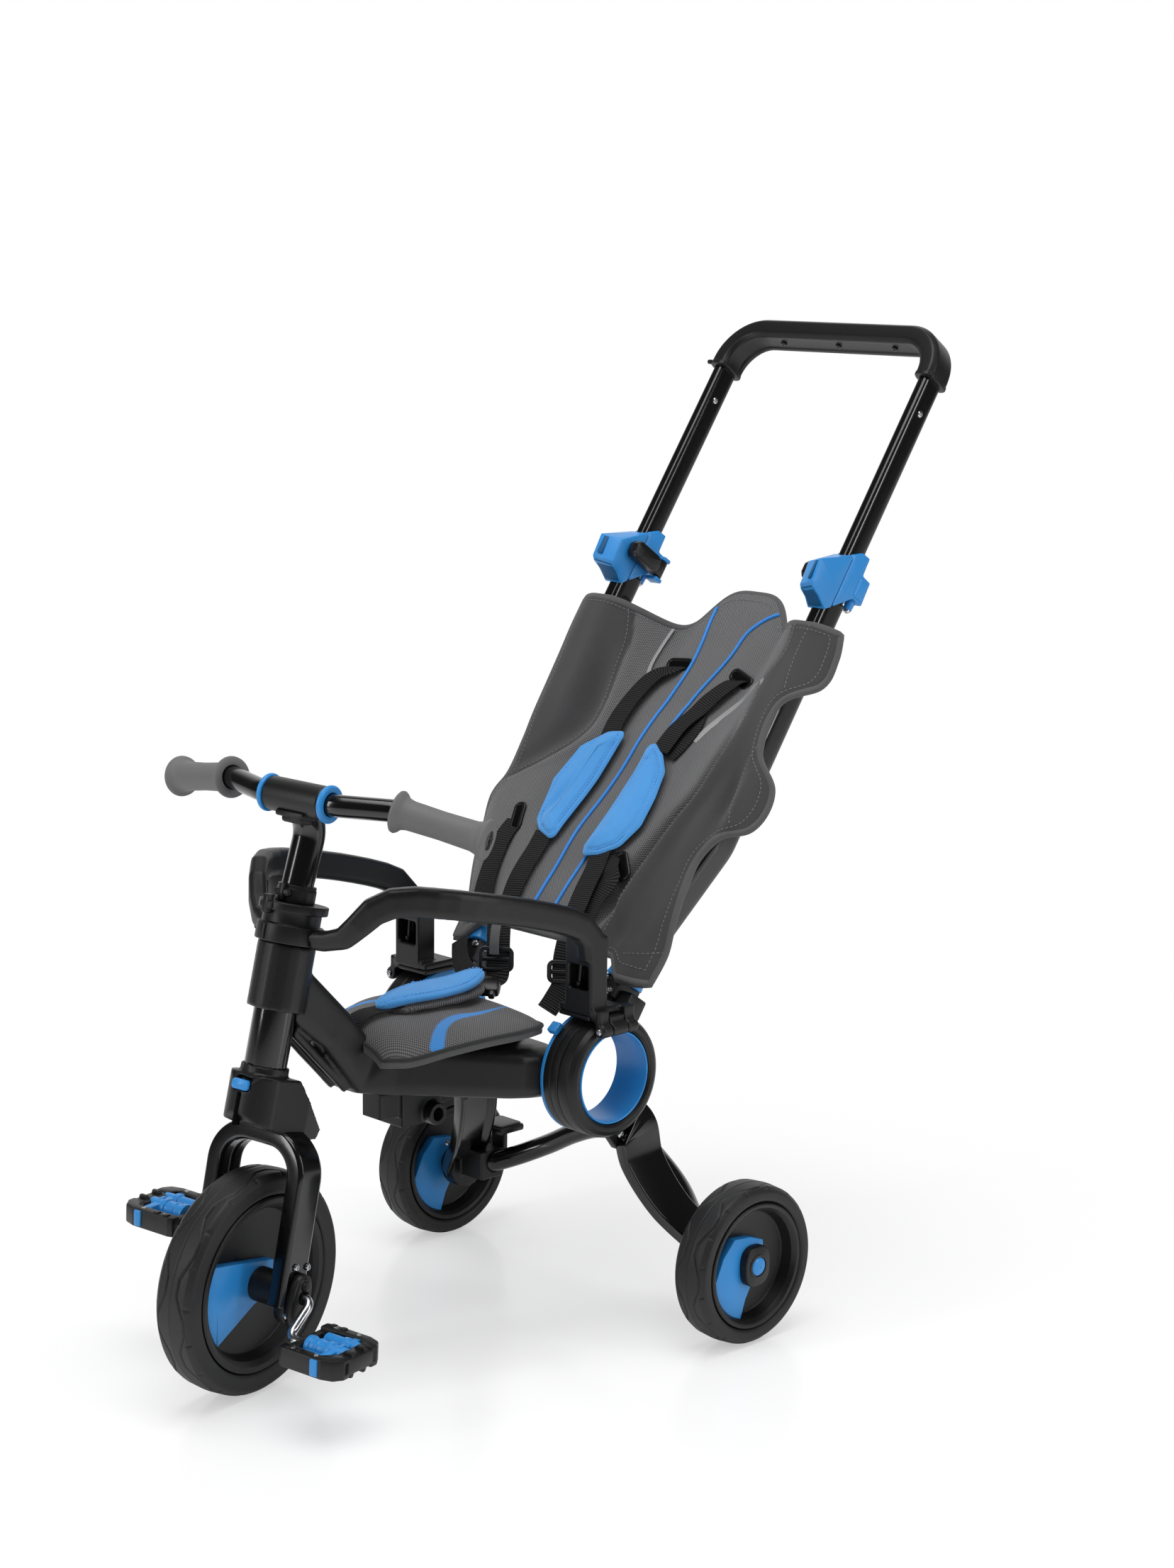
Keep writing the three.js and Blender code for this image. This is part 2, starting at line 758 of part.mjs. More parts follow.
function brakePedal() {
  const inner = brakeBarrelX - brakeBarrelHalf;
  const outer = brakeBarrelX + brakeBarrelHalf;
  return join(
    turnedX(pinProfile(inner, outer, brakeBarrelRadius), tubeSides).translate(0, brakePivotY, brakePivotZ),
    box(
      inner,
      outer,
      brakePivotY - brakeBarrelRadius / 2,
      brakePivotY + brakeBarrelRadius,
      brakePivotZ,
      brakePadZ,
    ),
    box(
      brakePadX - brakePadHalf,
      brakePadX + brakePadHalf,
      brakePadY - brakePadHalfDeep,
      brakePadY + brakePadHalfDeep,
      brakePadZ - brakePadHalfThick,
      brakePadZ + brakePadHalfThick,
    ),
  );
}
place(hinge, "brake_pedal", solid(mirrored(geometryOf(brakePedal()))), blackPlastic);

// Wheels: a tyre on a dished rim
const tyreInnerShare = 0.79;
const tyreShoulder = 4.2;
const treadShare = 0.8;
function tyre(radius, width) {
  const half = width / 2;
  const inner = radius * tyreInnerShare;
  return turnedX(
    [
      [-half, inner],
      [-half, radius - tyreShoulder],
      [-half * treadShare, radius - tyreShoulder / 6],
      [0, radius],
      [half * treadShare, radius - tyreShoulder / 6],
      [half, radius - tyreShoulder],
      [half, inner],
      [-half, inner],
    ],
    wheelSides,
  );
}
function wheelRim(radius, width, hubRadius, bore, hubHalf) {
  const half = width / 2 - seatGap * 2;
  const outer = radius * tyreInnerShare - seatGap;
  const lip = radius * 0.06;
  const web = width * 0.09;
  return turnedX(
    [
      [-half, outer - lip],
      [-half, outer],
      [half, outer],
      [half, outer - lip],
      [web, outer - lip * 2],
      [web, hubRadius],
      [hubHalf, hubRadius],
      [hubHalf, bore],
      [-hubHalf, bore],
      [-hubHalf, hubRadius],
      [-web, hubRadius],
      [-web, outer - lip * 2],
      [-half, outer - lip],
    ],
    wheelSides,
  );
}

// Rear wheels, with the release button in each hub
const rearHubRadius = 15;
const buttonStroke = 3.5;
const rearHubHalf = rearWidth / 2;
for (const [name, side] of sides) {
  const wheel = new THREE.Group();
  wheel.position.set((side * rearTrack) / 2, rearAxleY, rearAxleZ);
  hinge.add(wheel);
  place(wheel, name + "_rear_tyre", solid(tyre(rearRadius, rearWidth)), tyreRubber);
  place(
    wheel,
    name + "_rear_rim",
    solid(wheelRim(rearRadius, rearWidth, rearHubRadius, axleStubRadius + turnGap, rearHubHalf - wheelClear)),
    blackPlastic,
  );
  const button = turnedX([
    [rearWidth / 3 + buttonStroke, 0],
    [rearWidth / 3 + buttonStroke, axleStubRadius],
    [rearHubHalf, axleStubRadius],
    [rearHubHalf + overrun, axleStubRadius / 2],
    [rearHubHalf + overrun, 0],
  ], tubeSides);
  place(wheel, name + "_hub_button", solid(onSide(side, button)), bluePlastic);
}

// Steering assembly, in the column's own frame, turned as photographed
const steeringTubeBottom = -2;
const crownSleeveRadius = 23.4;
const crownSleeveTop = 2;
const crownHalfWidth = 29;
place(
  steering,
  "steering_tube",
  solid(
    turnedZ(
      ringProfile(
        steeringTubeBottom,
        sleeveTop - seatGap,
        steeringTubeRadius - steeringTubeWall,
        steeringTubeRadius,
      ),
    ),
  ),
  glossSteel,
);

// Side outline of the crown: place back from the column and height along it
const crownOutline = [
  [-24, -6],
  [-34, -20],
  [-34, -42],
  [-24, -52],
  [12, -62],
  [30, -67],
  [66, -66],
  [72, -57],
  [36, -22],
  [23, -8],
];
const crownFrontRound = 31;
const crownTailHalf = 23;
const buttonHalfWide = 9;
const buttonBackY = -27;
const buttonFrontY = -34;
const buttonRoomY = -21.5;
const buttonBottom = -22;
const buttonTop = -10;
// Outline of the crown from above: round at the front and tapered at the back
function crownPlan() {
  const plan = new THREE.Shape();
  const tail = crownOutline.reduce((most, [y]) => Math.max(most, y), 0) + overrun;
  plan.absarc(0, 0, crownFrontRound, Math.PI, 2 * Math.PI);
  plan.lineTo(crownFrontRound, headRadius);
  plan.lineTo(crownTailHalf, tail);
  plan.lineTo(-crownTailHalf, tail);
  plan.lineTo(-crownFrontRound, headRadius);
  const high = crownFrontRound * 3;
  const made = new THREE.ExtrudeGeometry(plan, { depth: high, bevelEnabled: false, curveSegments: 12 });
  return made.translate(0, 0, -high);
}
function forkCrown() {
  const wedge = solid(plateX(crownOutline, -crownHalfWidth, crownHalfWidth)).intersect(solid(crownPlan()));
  const sleeve = turnedZ(pinProfile(-crownSleeveRadius, crownSleeveTop, crownSleeveRadius));
  const body = wedge.add(solid(sleeve));
  const socket = turnedZ(
    pinProfile(steeringTubeBottom - seatGap, crownSleeveTop + overrun, steeringTubeRadius + seatGap),
  );
  const buttonRoom = box(
    -buttonHalfWide - seatGap,
    buttonHalfWide + seatGap,
    buttonFrontY * 2,
    buttonRoomY,
    buttonBottom - seatGap,
    buttonTop + seatGap,
  );
  return cut(body, socket, buttonRoom, forkTube(seatGap));
}

// Fork: one flattened tube bent into a U over the wheel
const forkHalfSpacing = 52;
const forkHalfDeep = 14;
const forkHalfThick = 7;
const forkArchZ = -64;
const forkArchY = 26;
const forkBend = 38;
const axleB = (frontRadius - columnZ - frontTrail * -Math.sin(columnLean)) / Math.cos(columnLean);
const forkEndPast = 12;
const forkEndB = axleB - forkEndPast;
function forkTube(extra) {
  const corners = [
    [-forkHalfSpacing, frontTrail, forkEndB],
    [-forkHalfSpacing, forkArchY, forkArchZ],
    [forkHalfSpacing, forkArchY, forkArchZ],
    [forkHalfSpacing, frontTrail, forkEndB],
  ];
  return tubeAlong(
    bentPath(corners, forkBend, 5),
    forkHalfDeep + extra,
    forkHalfThick + extra,
    squareTo(vec(0, 1, 0)),
    { power: 0.6 },
  );
}
const axleBoreX = (radius) =>
  turnedX(
    pinProfile(-forkHalfSpacing * 2, forkHalfSpacing * 2, radius),
    tubeSides,
  ).translate(0, frontTrail, axleB);
place(steering, "fork_crown", forkCrown(), blackPlastic);
place(steering, "fork", cut(solid(forkTube(0)), axleBoreX(crankRadius + turnGap)), glossSteel);
place(
  steering,
  "crown_button",
  solid(box(-buttonHalfWide, buttonHalfWide, buttonFrontY, buttonBackY, buttonBottom, buttonTop)),
  bluePlastic,
);

// Axle caps on the fork ends
const capHalfDeep = 12;
const capHalfTall = 25;
const capThick = 7;
const capX = forkHalfSpacing + forkHalfThick + seatGap;
for (const [name, side] of sides) {
  const loop = (x) =>
    oval(
      vec(x, frontTrail, axleB - crankRadius),
      vec(0, 1, 0),
      vec(0, 0, 1),
      capHalfDeep,
      capHalfTall,
      20,
      0.8,
    );
  const cap = onSide(side, loft([loop(capX), loop(capX + capThick)]));
  place(
    steering,
    name + "_axle_cap",
    cut(solid(cap), axleBoreX(crankRadius + turnGap)),
    blackPlastic,
  );
}

// Front wheel and crank
const axle = new THREE.Group();
axle.position.set(0, frontTrail, axleB);
steering.add(axle);
const frontHubRadius = 17;
place(axle, "front_tyre", solid(tyre(frontRadius, frontWidth)), tyreRubber);
place(
  axle,
  "front_rim",
  solid(
    wheelRim(
      frontRadius,
      frontWidth,
      frontHubRadius,
      crankRadius + turnGap,
      forkHalfSpacing - forkHalfThick - wheelClear,
    ),
  ),
  blackPlastic,
);

const crankOut = 80;
const crankDropY = -27;
const crankDropZ = -34;
const crankBend = 8;
const pedalMiddleX = 133;
const pedalHalfLong = 35;
const pedalHalfWide = 37;
const pedalHalfThick = 10;
const pedalWall = 10;
const pedalRail = 11;
const pedalBarrel = 10;
const spindleEndX = pedalMiddleX + pedalHalfLong - pedalWall;
function crankRod() {
  const half = (side) => [
    [side * spindleEndX, side * crankDropY, side * crankDropZ],
    [side * crankOut, side * crankDropY, side * crankDropZ],
    [side * crankOut, 0, 0],
  ];
  const places = bentPath([...half(-1), ...half(1).reverse()], crankBend);
  const flat = vec(0, crankDropZ, -crankDropY).normalize();
  return tubeAlong(places, crankRadius, crankRadius, squareTo(flat), { count: 10 });
}
place(axle, "crank", solid(crankRod()), silverSteel);

for (const [name, side] of sides) {
  const pedal = new THREE.Group();
  pedal.position.set(0, side * crankDropY, side * crankDropZ);
  pedal.rotation.x = columnLean;
  axle.add(pedal);
  const inner = pedalMiddleX - pedalHalfLong;
  const outer = pedalMiddleX + pedalHalfLong;
  const frame = box(inner, outer, -pedalHalfWide, pedalHalfWide, -pedalHalfThick, pedalHalfThick);
  const high = pedalHalfThick + overrun;
  const window = (y0, y1) => box(inner + pedalWall, outer - pedalWall, y0, y1, -high, high);
  const tools = [
    window(pedalBarrel, pedalHalfWide - pedalRail),
    window(pedalRail - pedalHalfWide, -pedalBarrel),
    turnedX(pinProfile(0, spindleEndX + seatGap, crankRadius + turnGap), tubeSides),
  ];
  const body = cut(solid(onSide(side, frame)), ...tools.map((tool) => onSide(side, tool)));
  place(pedal, name + "_pedal", body, blackPlastic);
}

// Stem with its sleeve, handlebar clamp, bar and grips
const clampY = -20;
const clampZ = 257;
const clampRadius = 16.5;
const clampHalfLong = 34;
const barRadius = 10.8;
const clampRingRadius = 18.3;
const clampRingLong = 5;
const stemSleeveRadius = 19;
const stemSleeveLong = 17;
const stemSleeveTop = sleeveTop + headFlangeHeight + stemSleeveLong;
const stemFoot = headTop - armBandHeight;
const stemBend = 26;
const stemCorners = [
  [0, 0, stemFoot],
  [0, 0, stemSleeveTop + overrun],
  [0, 5, 231],
  [0, clampY, clampZ],
];
const stemTubeRadius = stemRadius - turnGap / 2;
const stemBody = join(
  tubeAlong(bentPath(stemCorners, stemBend), stemTubeRadius, stemTubeRadius, squareTo(across), {
    count: 14,
  }),
  turnedZ(pinProfile(sleeveTop + headFlangeHeight + seatGap, stemSleeveTop, stemSleeveRadius)),
);
const clampRoom = turnedX(
  pinProfile(-clampHalfLong, clampHalfLong, clampRadius + seatGap),
).translate(0, clampY, clampZ);
place(steering, "stem", largestOf(cut(stemBody, clampRoom)), glossSteel);
place(
  steering,
  "handlebar_clamp",
  solid(
    turnedX(
      ringProfile(-clampHalfLong, clampHalfLong, barRadius + seatGap, clampRadius),
    ).translate(0, clampY, clampZ),
  ),
  blackPlastic,
);
for (const [name, side] of sides) {
  const ring = turnedX(
    ringProfile(
      clampHalfLong + seatGap,
      clampHalfLong + seatGap + clampRingLong,
      barRadius + seatGap,
      clampRingRadius,
    ),
  ).translate(0, clampY, clampZ);
  place(steering, name + "_clamp_ring", solid(onSide(side, ring)), bluePlastic);
}

// Bar: straight through the clamp, then swept back to the grips
const gripStart = [100.5, -1.6, 262.8];
const gripEnd = [190.8, 26.4, 251.9];
const gripRadius = 13.8;
const gripFlange = 20.5;
const gripFlangeLong = 6;
const barStraightPast = 6;
const barStraight = clampHalfLong + clampRingLong + barStraightPast;
const barBend = 40;
const barHalf = (side) => [
  [side * gripEnd[0], gripEnd[1], gripEnd[2]],
  [side * gripStart[0], gripStart[1], gripStart[2]],
  [side * barStraight, clampY, clampZ],
];
const barPlaces = bentPath([...barHalf(-1), ...barHalf(1).reverse()], barBend, 4);
const barTube = (extra) =>
  tubeAlong(barPlaces, barRadius + extra, barRadius + extra, squareTo(vec(0, 0, 1)), { count: 14 });
const gripAim = vec(...gripEnd).sub(vec(...gripStart)).normalize();
const gripSpan = vec(...gripEnd).distanceTo(vec(...gripStart));
const gripWall = 5;
const gripLoose = 1;
const flangeEdgeShare = 0.9;
const flangeFadeShare = 2.4;
const gripBore = barRadius + gripLoose;
const gripPlace = new THREE.Matrix4().makeBasis(
  gripAim,
  new THREE.Vector3().crossVectors(vec(0, 0, 1), gripAim).normalize(),
  new THREE.Vector3()
    .crossVectors(gripAim, new THREE.Vector3().crossVectors(vec(0, 0, 1), gripAim).normalize())
    .normalize(),
);
gripPlace.setPosition(...gripStart);
const endTrim = (side) =>
  onSide(
    side,
    turnedX(pinProfile(gripSpan - gripWall, gripSpan * 2, barRadius * 2)).applyMatrix4(gripPlace),
  );
const barBody = (extra) => cut(solid(barTube(extra)), endTrim(1), endTrim(-1));
place(steering, "handlebar", barBody(0), glossSteel);
for (const [name, side] of sides) {
  const grip = turnedX(
    [
      [0, gripBore],
      [0, gripFlange * flangeEdgeShare],
      [gripFlangeLong / 2, gripFlange],
      [gripFlangeLong, gripFlange * flangeEdgeShare],
      [gripFlangeLong * flangeFadeShare, gripRadius],
      [gripSpan - gripFlangeLong * flangeFadeShare, gripRadius],
      [gripSpan - gripFlangeLong, gripFlange * flangeEdgeShare],
      [gripSpan - gripFlangeLong / 2, gripFlange],
      [gripSpan, gripFlange * flangeEdgeShare],
      [gripSpan, 0],
      [gripSpan - gripWall + seatGap, 0],
      [gripSpan - gripWall + seatGap, gripBore],
      [0, gripBore],
    ],
    16,
  ).applyMatrix4(gripPlace);
  const hollowed = solid(onSide(side, grip)).subtract(barBody(seatGap));
  place(steering, name + "_grip", largestOf(hollowed), greyGrip);
}

// Backrest, in its own frame: Z runs up the frame and -Y is its front
const backrest = new THREE.Group();
backrest.rotation.x = -reclineAngle;
hinge.add(backrest);
const bandLugTop = 80;
const bandLugBottom = 64;
const bandLugFront = -8;
const bandLugRear = 14;
const socketTop = 104;
const socketWall = 3.5;
const kinkEnd = 258;
const backBend = 60;
const sleeveEnd = 548;
const collarLift = 11.5;
const collarAt = sleeveEnd + collarLift;
const sleeveBoreFrom = 325;
const tubePower = 0.8;
const deepWise = squareTo(vec(0, 1, 0));
// The left back tube's section between two heights, grown by a clearance
function tubeRoom(from, to, extra) {
  const places = [from, to].map((z) => ({ at: vec(handleHalfSpacing, 0, z), along: vec(0, 0, 1) }));
  return tubeAlong(places, backTubeDeep + extra, backTubeSide + extra, deepWise, { power: tubePower });
}
for (const [name, side] of sides) {
  const ring = turnedX(
    ringProfile(backBandX, backBandX + backBandWidth, bandInner, hingeRadius),
    wheelSides,
  );
  const block = (x0, z0, z1) => box(x0, backBandX + backBandWidth, bandLugFront, bandLugRear, z0, z1);
  const neck = block(backBandX, bandInner + overrun, bandLugBottom - seatGap);
  place(backrest, name + "_back_band", join(onSide(side, ring), onSide(side, neck)), blackPlastic);
  // The foot of the tube stands on the band's neck
  const foot = block(footHalfSpacing - backTubeSide, bandLugBottom, bandLugTop);
  const corners = [
    [footHalfSpacing, 0, bandLugTop - overrun],
    [footHalfSpacing, 0, socketTop],
    [handleHalfSpacing, 0, kinkEnd],
    [handleHalfSpacing, 0, sleeveEnd],
  ];
  const tube = tubeAlong(bentPath(corners, backBend), backTubeDeep, backTubeSide, deepWise, {
    power: tubePower,
  });
  const socket = tubeAlong(
    bentPath(corners.slice(0, 2), backBend),
    backTubeDeep + socketWall,
    backTubeSide + socketWall,
    deepWise,
    { power: tubePower },
  );
  // The upper half is hollow, for the push handle to slide in
  const bore = tubeRoom(sleeveBoreFrom, sleeveEnd + overrun, -backTubeWall);
  const whole = join(...[tube, socket, foot].map((piece) => onSide(side, piece)));
  place(backrest, name + "_back_tube", cut(whole, onSide(side, bore)), glossSteel);
}

// Push handle: a U tube that slides in the clamp collars, with a moulded grip
const handleCorner = 44;
const gripFrom = 812;
const gripWallThick = 4;
const handleGroup = new THREE.Group();
backrest.add(handleGroup);
function handleTube(from, extra) {
  const corners = [
    [-handleHalfSpacing, 0, from],
    [-handleHalfSpacing, 0, handleTop],
    [handleHalfSpacing, 0, handleTop],
    [handleHalfSpacing, 0, from],
  ];
  return tubeAlong(
    bentPath(corners, handleCorner, 4),
    handleDeep + extra,
    handleSide + extra,
    deepWise,
    { power: tubePower },
  );
}
const handleInsert = 43;
const handleFoot = sleeveEnd - handleInsert;
place(handleGroup, "push_handle", solid(handleTube(handleFoot, 0)), glossSteel);
place(
  handleGroup,
  "handle_grip",
  cut(
    solid(handleTube(gripFrom, gripWallThick)),
    handleTube(handleFoot, seatGap),
  ),
  blackPlastic,
);

// Clamp collars, each with a cam lever on its inner face
const collarHalfWide = 21;
const collarFront = 24;
const collarRear = 19;
const collarHalfTall = 30.5;
const leverLong = 34;
const leverWide = 17;
const leverThick = 7;
for (const [name, side] of sides) {
  const w = handleHalfSpacing;
  const body = box(
    w - collarHalfWide,
    w + collarHalfWide,
    -collarFront,
    collarRear,
    collarAt - collarHalfTall,
    collarAt + collarHalfTall,
  );
  const reach = collarHalfTall + overrun;
  place(
    backrest,
    name + "_clamp_collar",
    cut(solid(onSide(side, body)), onSide(side, tubeRoom(collarAt - reach, collarAt + reach, seatGap))),
    bluePlastic,
  );
  const leverX = w - collarHalfWide - seatGap;
  const lever = box(
    leverX - leverThick,
    leverX,
    collarRear - leverWide,
    collarRear,
    collarAt - leverLong / 3,
    collarAt + (leverLong * 2) / 3,
  );
  place(backrest, name + "_cam_lever", solid(onSide(side, lever)), blackPlastic);
}

// Backrest cover: a sling that sags between the tubes and laps over their front
const coverHalfThick = 3.5;
const coverColumns = 16;
const coverClear = 1.5;
const coverLap = backTubeDeep + coverHalfThick + coverClear;
const socketFade = 40;
const coverTabFrom = 108;
const coverTabTo = 146;
const coverTabDrop = 24;
const coverPanelHalf = 58;
const coverWingDrop = 23;
const coverWingReach = 36;
const coverCrest = 60;
const coverCrestWidth = 58;
const coverCrestFrom = 413;
// Height up the frame, half widths on the left and right, and depth of the middle (back is positive)
const coverStations = [
  [112, 156, 128, -42],
  [130, 150, 130, -41],
  [165, 150, 150, -35],
  [200, 149, 172, -26],
  [236, 150, 186, -18],
  [262, 164, 176, -12],
  [280, 186, 164, -8],
  [326, 189, 164, 1],
  [358, 166, 168, 6],
  [413, 162, 172, 22],
  [447, 190, 176, 33],
  [480, 192, 184, 42],
  [508, 188, 188, 49],
];
const coverTop = coverStations[coverStations.length - 1][0];
// Half spacing of the back tubes at a height up the frame
const tubeSpacing = (z) =>
  THREE.MathUtils.lerp(
    footHalfSpacing,
    handleHalfSpacing,
    clampShare((z - socketTop) / (kinkEnd - socketTop)),
  );
// The cover clears the tubes' sockets at its foot
const lapAt = (z) => coverLap + socketWall * (1 - smooth(clampShare((z - socketTop) / socketFade)));
function coverDepth(x, z, middle) {
  const spacing = tubeSpacing(z);
  const off = Math.abs(x);
  const outside = off - spacing - backTubeSide;
  if (outside > 0) return coverWingDrop * (outside / coverWingReach) ** 2 - lapAt(z);
  const lapFrom = spacing - backTubeSide;
  const share = smooth(clampShare((off - coverPanelHalf) / (lapFrom - coverPanelHalf)));
  return THREE.MathUtils.lerp(middle, -lapAt(z), share);
}
// Depth of the cover's middle at a height between two stations
function coverMiddle(z) {
  const next = coverStations.findIndex(([height]) => height >= z);
  const [z0, , , middle0] = coverStations[next - 1];
  const [z1, , , middle1] = coverStations[next];
  return THREE.MathUtils.mapLinear(z, z0, z1, middle0, middle1);
}
function backCover() {
  return coverStations.map(([z, left, right, middle], row) => {
    const front = [];
    const back = [];
    const crestShare = clampShare((z - coverCrestFrom) / (coverTop - coverCrestFrom));
    for (let i = 0; i <= coverColumns; i++) {
      const share = i / coverColumns;
      const x = THREE.MathUtils.lerp(-right, left, share);
      const y = coverDepth(x, z, middle);
      const tab = smooth(clampShare((Math.abs(x) - coverTabFrom) / (coverTabTo - coverTabFrom)));
      const crest = coverCrest * crestShare * Math.exp(-((x / coverCrestWidth) ** 4));
      const rise = row === 0 ? -coverTabDrop * tab : crest;
      const edge = Math.abs(2 * share - 1) ** 8;
      const fat = coverHalfThick * (1 - edge / 2);
      front.push(vec(x, y - fat, z + rise));
      back.unshift(vec(x, y + fat, z + rise));
    }
    return [...front, ...back];
  });
}
place(backrest, "backrest_cover", solid(loft(backCover())), greyFabric);

// Shoulder pads of the harness, hanging in front of the cover
const padHalfWide = 21;
const padHalfThick = 6;
const padMiddleX = 45;
const padFoot = 207;
const padLong = 149;
const padRows = 5;
const softGap = 0.7;
const padRise = coverHalfThick + padHalfThick + softGap;
for (const [name, side] of sides) {
  const places = Array.from({ length: padRows + 1 }, (_, row) => {
    const z = padFoot + (padLong * row) / padRows;
    return [side * padMiddleX, coverMiddle(z) - padRise, z];
  });
  const swell = (share) => 1 - 0.6 * Math.abs(2 * share - 1) ** 3;
  const pad = sweep(through(places), 8, padHalfWide, padHalfThick, squareTo(across), {
    power: 0.8,
    swell,
  });
  place(backrest, name + "_shoulder_pad", solid(pad), blueFabric);
}

// Seat cushion: a saddle with a crown, drooping beside the beam at its front
// Place along Y, half width, height of the middle over the hinge, droop of the edges
const cushionStations = overHinge(
  [
    [-217, 58, 59, 20],
    [-211, 65, 63, 22],
    [-198, 77, 66, 22],
    [-160, 97, 66, 17],
    [-120, 107, 65, 13],
    [-80, 106, 63, 9],
    [-50, 95, 61, 6],
    [-38, 84, 59, 5],
    [-30, 62, 56, 4],
  ],
  2,
);
const cushionThick = 17;
const cushionColumns = 12;
const cushionGap = 1;
function seatCushion() {
  const lastRow = cushionStations.length - 1;
  const rings = cushionStations.map(([y, half, z, droop], row) => {
    const fatShare = row === 0 || row === lastRow ? 0.45 : 1;
    const upper = [];
    const lower = [];
    for (let i = 0; i <= cushionColumns; i++) {
      const u = (2 * i) / cushionColumns - 1;
      const edge = Math.abs(u) ** 6;
      const top = z - droop * Math.abs(u) ** 2.5;
      const fat = cushionThick * fatShare * (1 - edge / 2);
      lower.push(vec(half * u, y, top - fat));
      upper.unshift(vec(half * u, y, top - (cushionThick * fatShare * edge) / 5));
    }
    return [...upper, ...lower];
  });
  return largestOf(cut(solid(loft(rings)), beamShell(cushionGap), seatMount(cushionGap)));
}
place(trike, "seat_cushion", seatCushion(), greyFabric);

// Crotch pad, arched over the cushion
const crotchHalfWide = 27;
const crotchHalfThick = 13;
const crotchRoute = overHinge(
  [
    [0, -176, 73.5],
    [0, -148, 78.3],
    [0, -106, 78.5],
    [0, -72, 75.3],
    [0, -44, 68.1],
  ],
  2,
);
const crotchSwell = (share) => 1 - 0.45 * Math.abs(2 * share - 1) ** 3;
const crotchPad = sweep(
  through(crotchRoute),
  8,
  crotchHalfWide,
  crotchHalfThick,
  squareTo(across),
  { power: 0.8, swell: crotchSwell },
);
place(trike, "crotch_pad", solid(crotchPad), blueFabric);

// The whole stands on the ground with the middle of its outline at the origin
const root = new THREE.Group();
root.add(trike);
root.updateMatrixWorld(true);
const extent = new THREE.Box3().setFromObject(trike, true);
const middle = extent.getCenter(new THREE.Vector3());
trike.position.set(-middle.x, -middle.y, -extent.min.z);

export default root;
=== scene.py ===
# %% [markdown]
# A folding push tricycle for a toddler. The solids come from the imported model, and this lesson
# dresses them: smooth tubes and wheels, moulded plastic, painted steel, and padded cloth.
# All lengths below are millimetres, and they are turned into metres when a mesh is made.

# %% Start
import json
import math
import bmesh
import bpy
import numpy as np
from mathutils import Matrix, Vector


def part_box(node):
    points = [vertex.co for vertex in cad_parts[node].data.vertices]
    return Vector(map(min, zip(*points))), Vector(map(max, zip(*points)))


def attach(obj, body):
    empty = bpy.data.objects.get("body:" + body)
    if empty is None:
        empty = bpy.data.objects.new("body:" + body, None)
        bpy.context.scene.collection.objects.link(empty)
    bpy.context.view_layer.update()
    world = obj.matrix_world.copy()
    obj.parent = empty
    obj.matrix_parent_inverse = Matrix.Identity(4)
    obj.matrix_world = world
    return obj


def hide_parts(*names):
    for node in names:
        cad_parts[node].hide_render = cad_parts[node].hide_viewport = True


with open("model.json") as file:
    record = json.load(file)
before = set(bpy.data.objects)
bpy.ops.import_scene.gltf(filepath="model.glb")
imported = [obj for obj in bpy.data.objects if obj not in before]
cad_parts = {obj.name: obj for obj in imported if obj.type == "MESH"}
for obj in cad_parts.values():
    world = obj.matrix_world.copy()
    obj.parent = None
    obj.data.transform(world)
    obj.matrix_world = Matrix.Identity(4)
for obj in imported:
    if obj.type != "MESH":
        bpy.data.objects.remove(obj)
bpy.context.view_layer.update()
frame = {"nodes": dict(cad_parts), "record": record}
MM = 0.001

# %% [markdown]
# The real tricycle turns about a few axes, and each piece is easiest to draw in the frame of
# the axis that carries it. A frame here is a 3 by 3 turn and a shift, applied to whole arrays.

# %% Frames of the tricycle's axes
LEAN, STEER, RECLINE = math.radians(13.5), math.radians(11.0), math.radians(34.3)
HINGE_UP, COLUMN_AHEAD, COLUMN_UP = 278, 321, 320.0
FRONT_RADIUS, TRAIL = 110.5, 32.0
REAR_RADIUS, REAR_Y, REAR_X = 82.4, 106.7, 227.0
low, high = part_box("left_hinge_core")
HINGE_Y = (low.y + high.y) / 2 / MM
HINGE_Z = (low.z + high.z) / 2 / MM


def turn_x(angle):
    """Turn about X: y and z mix with the angle's cosine and sine."""
    c, s = math.cos(angle), math.sin(angle)
    return np.array([[1, 0, 0], [0, c, -s], [0, s, c]])


def turn_z(angle):
    """Turn about Z: x and y mix with the angle's cosine and sine."""
    c, s = math.cos(angle), math.sin(angle)
    return np.array([[c, -s, 0], [s, c, 0], [0, 0, 1]])


def moved(place, points):
    """Points of a frame in the tricycle's own: the turned points plus the shift."""
    turn, shift = place
    return np.asarray(points, float) @ turn.T + shift


def within(place, turn, at):
    """A frame inside another, turned and placed at a point of it."""
    return (place[0] @ turn, moved(place, [at])[0])


GROUND = (np.eye(3), np.array([0, HINGE_Y, 0]))
HINGE = (np.eye(3), np.array([0, HINGE_Y, HINGE_Z]))
BACK = (turn_x(-RECLINE), HINGE[1])
COLUMN = (turn_x(-LEAN), np.array([0, HINGE_Y - COLUMN_AHEAD, COLUMN_UP]))
STEERING = (COLUMN[0] @ turn_z(STEER), COLUMN[1])
AXLE_Z = (FRONT_RADIUS - COLUMN_UP + TRAIL * math.sin(LEAN)) / math.cos(LEAN)
AXLE = within(STEERING, np.eye(3), [0, TRAIL, AXLE_Z])
print(
    "hinge axis at", round(HINGE_Y, 2), round(HINGE_Z, 2), "front axle height", round(AXLE[1][2], 2)
)

# %% [markdown]
# The camera stands where the photographer's did: in front of the rider's left, a little above
# the handlebar. It comes first, because every later choice is judged through it.

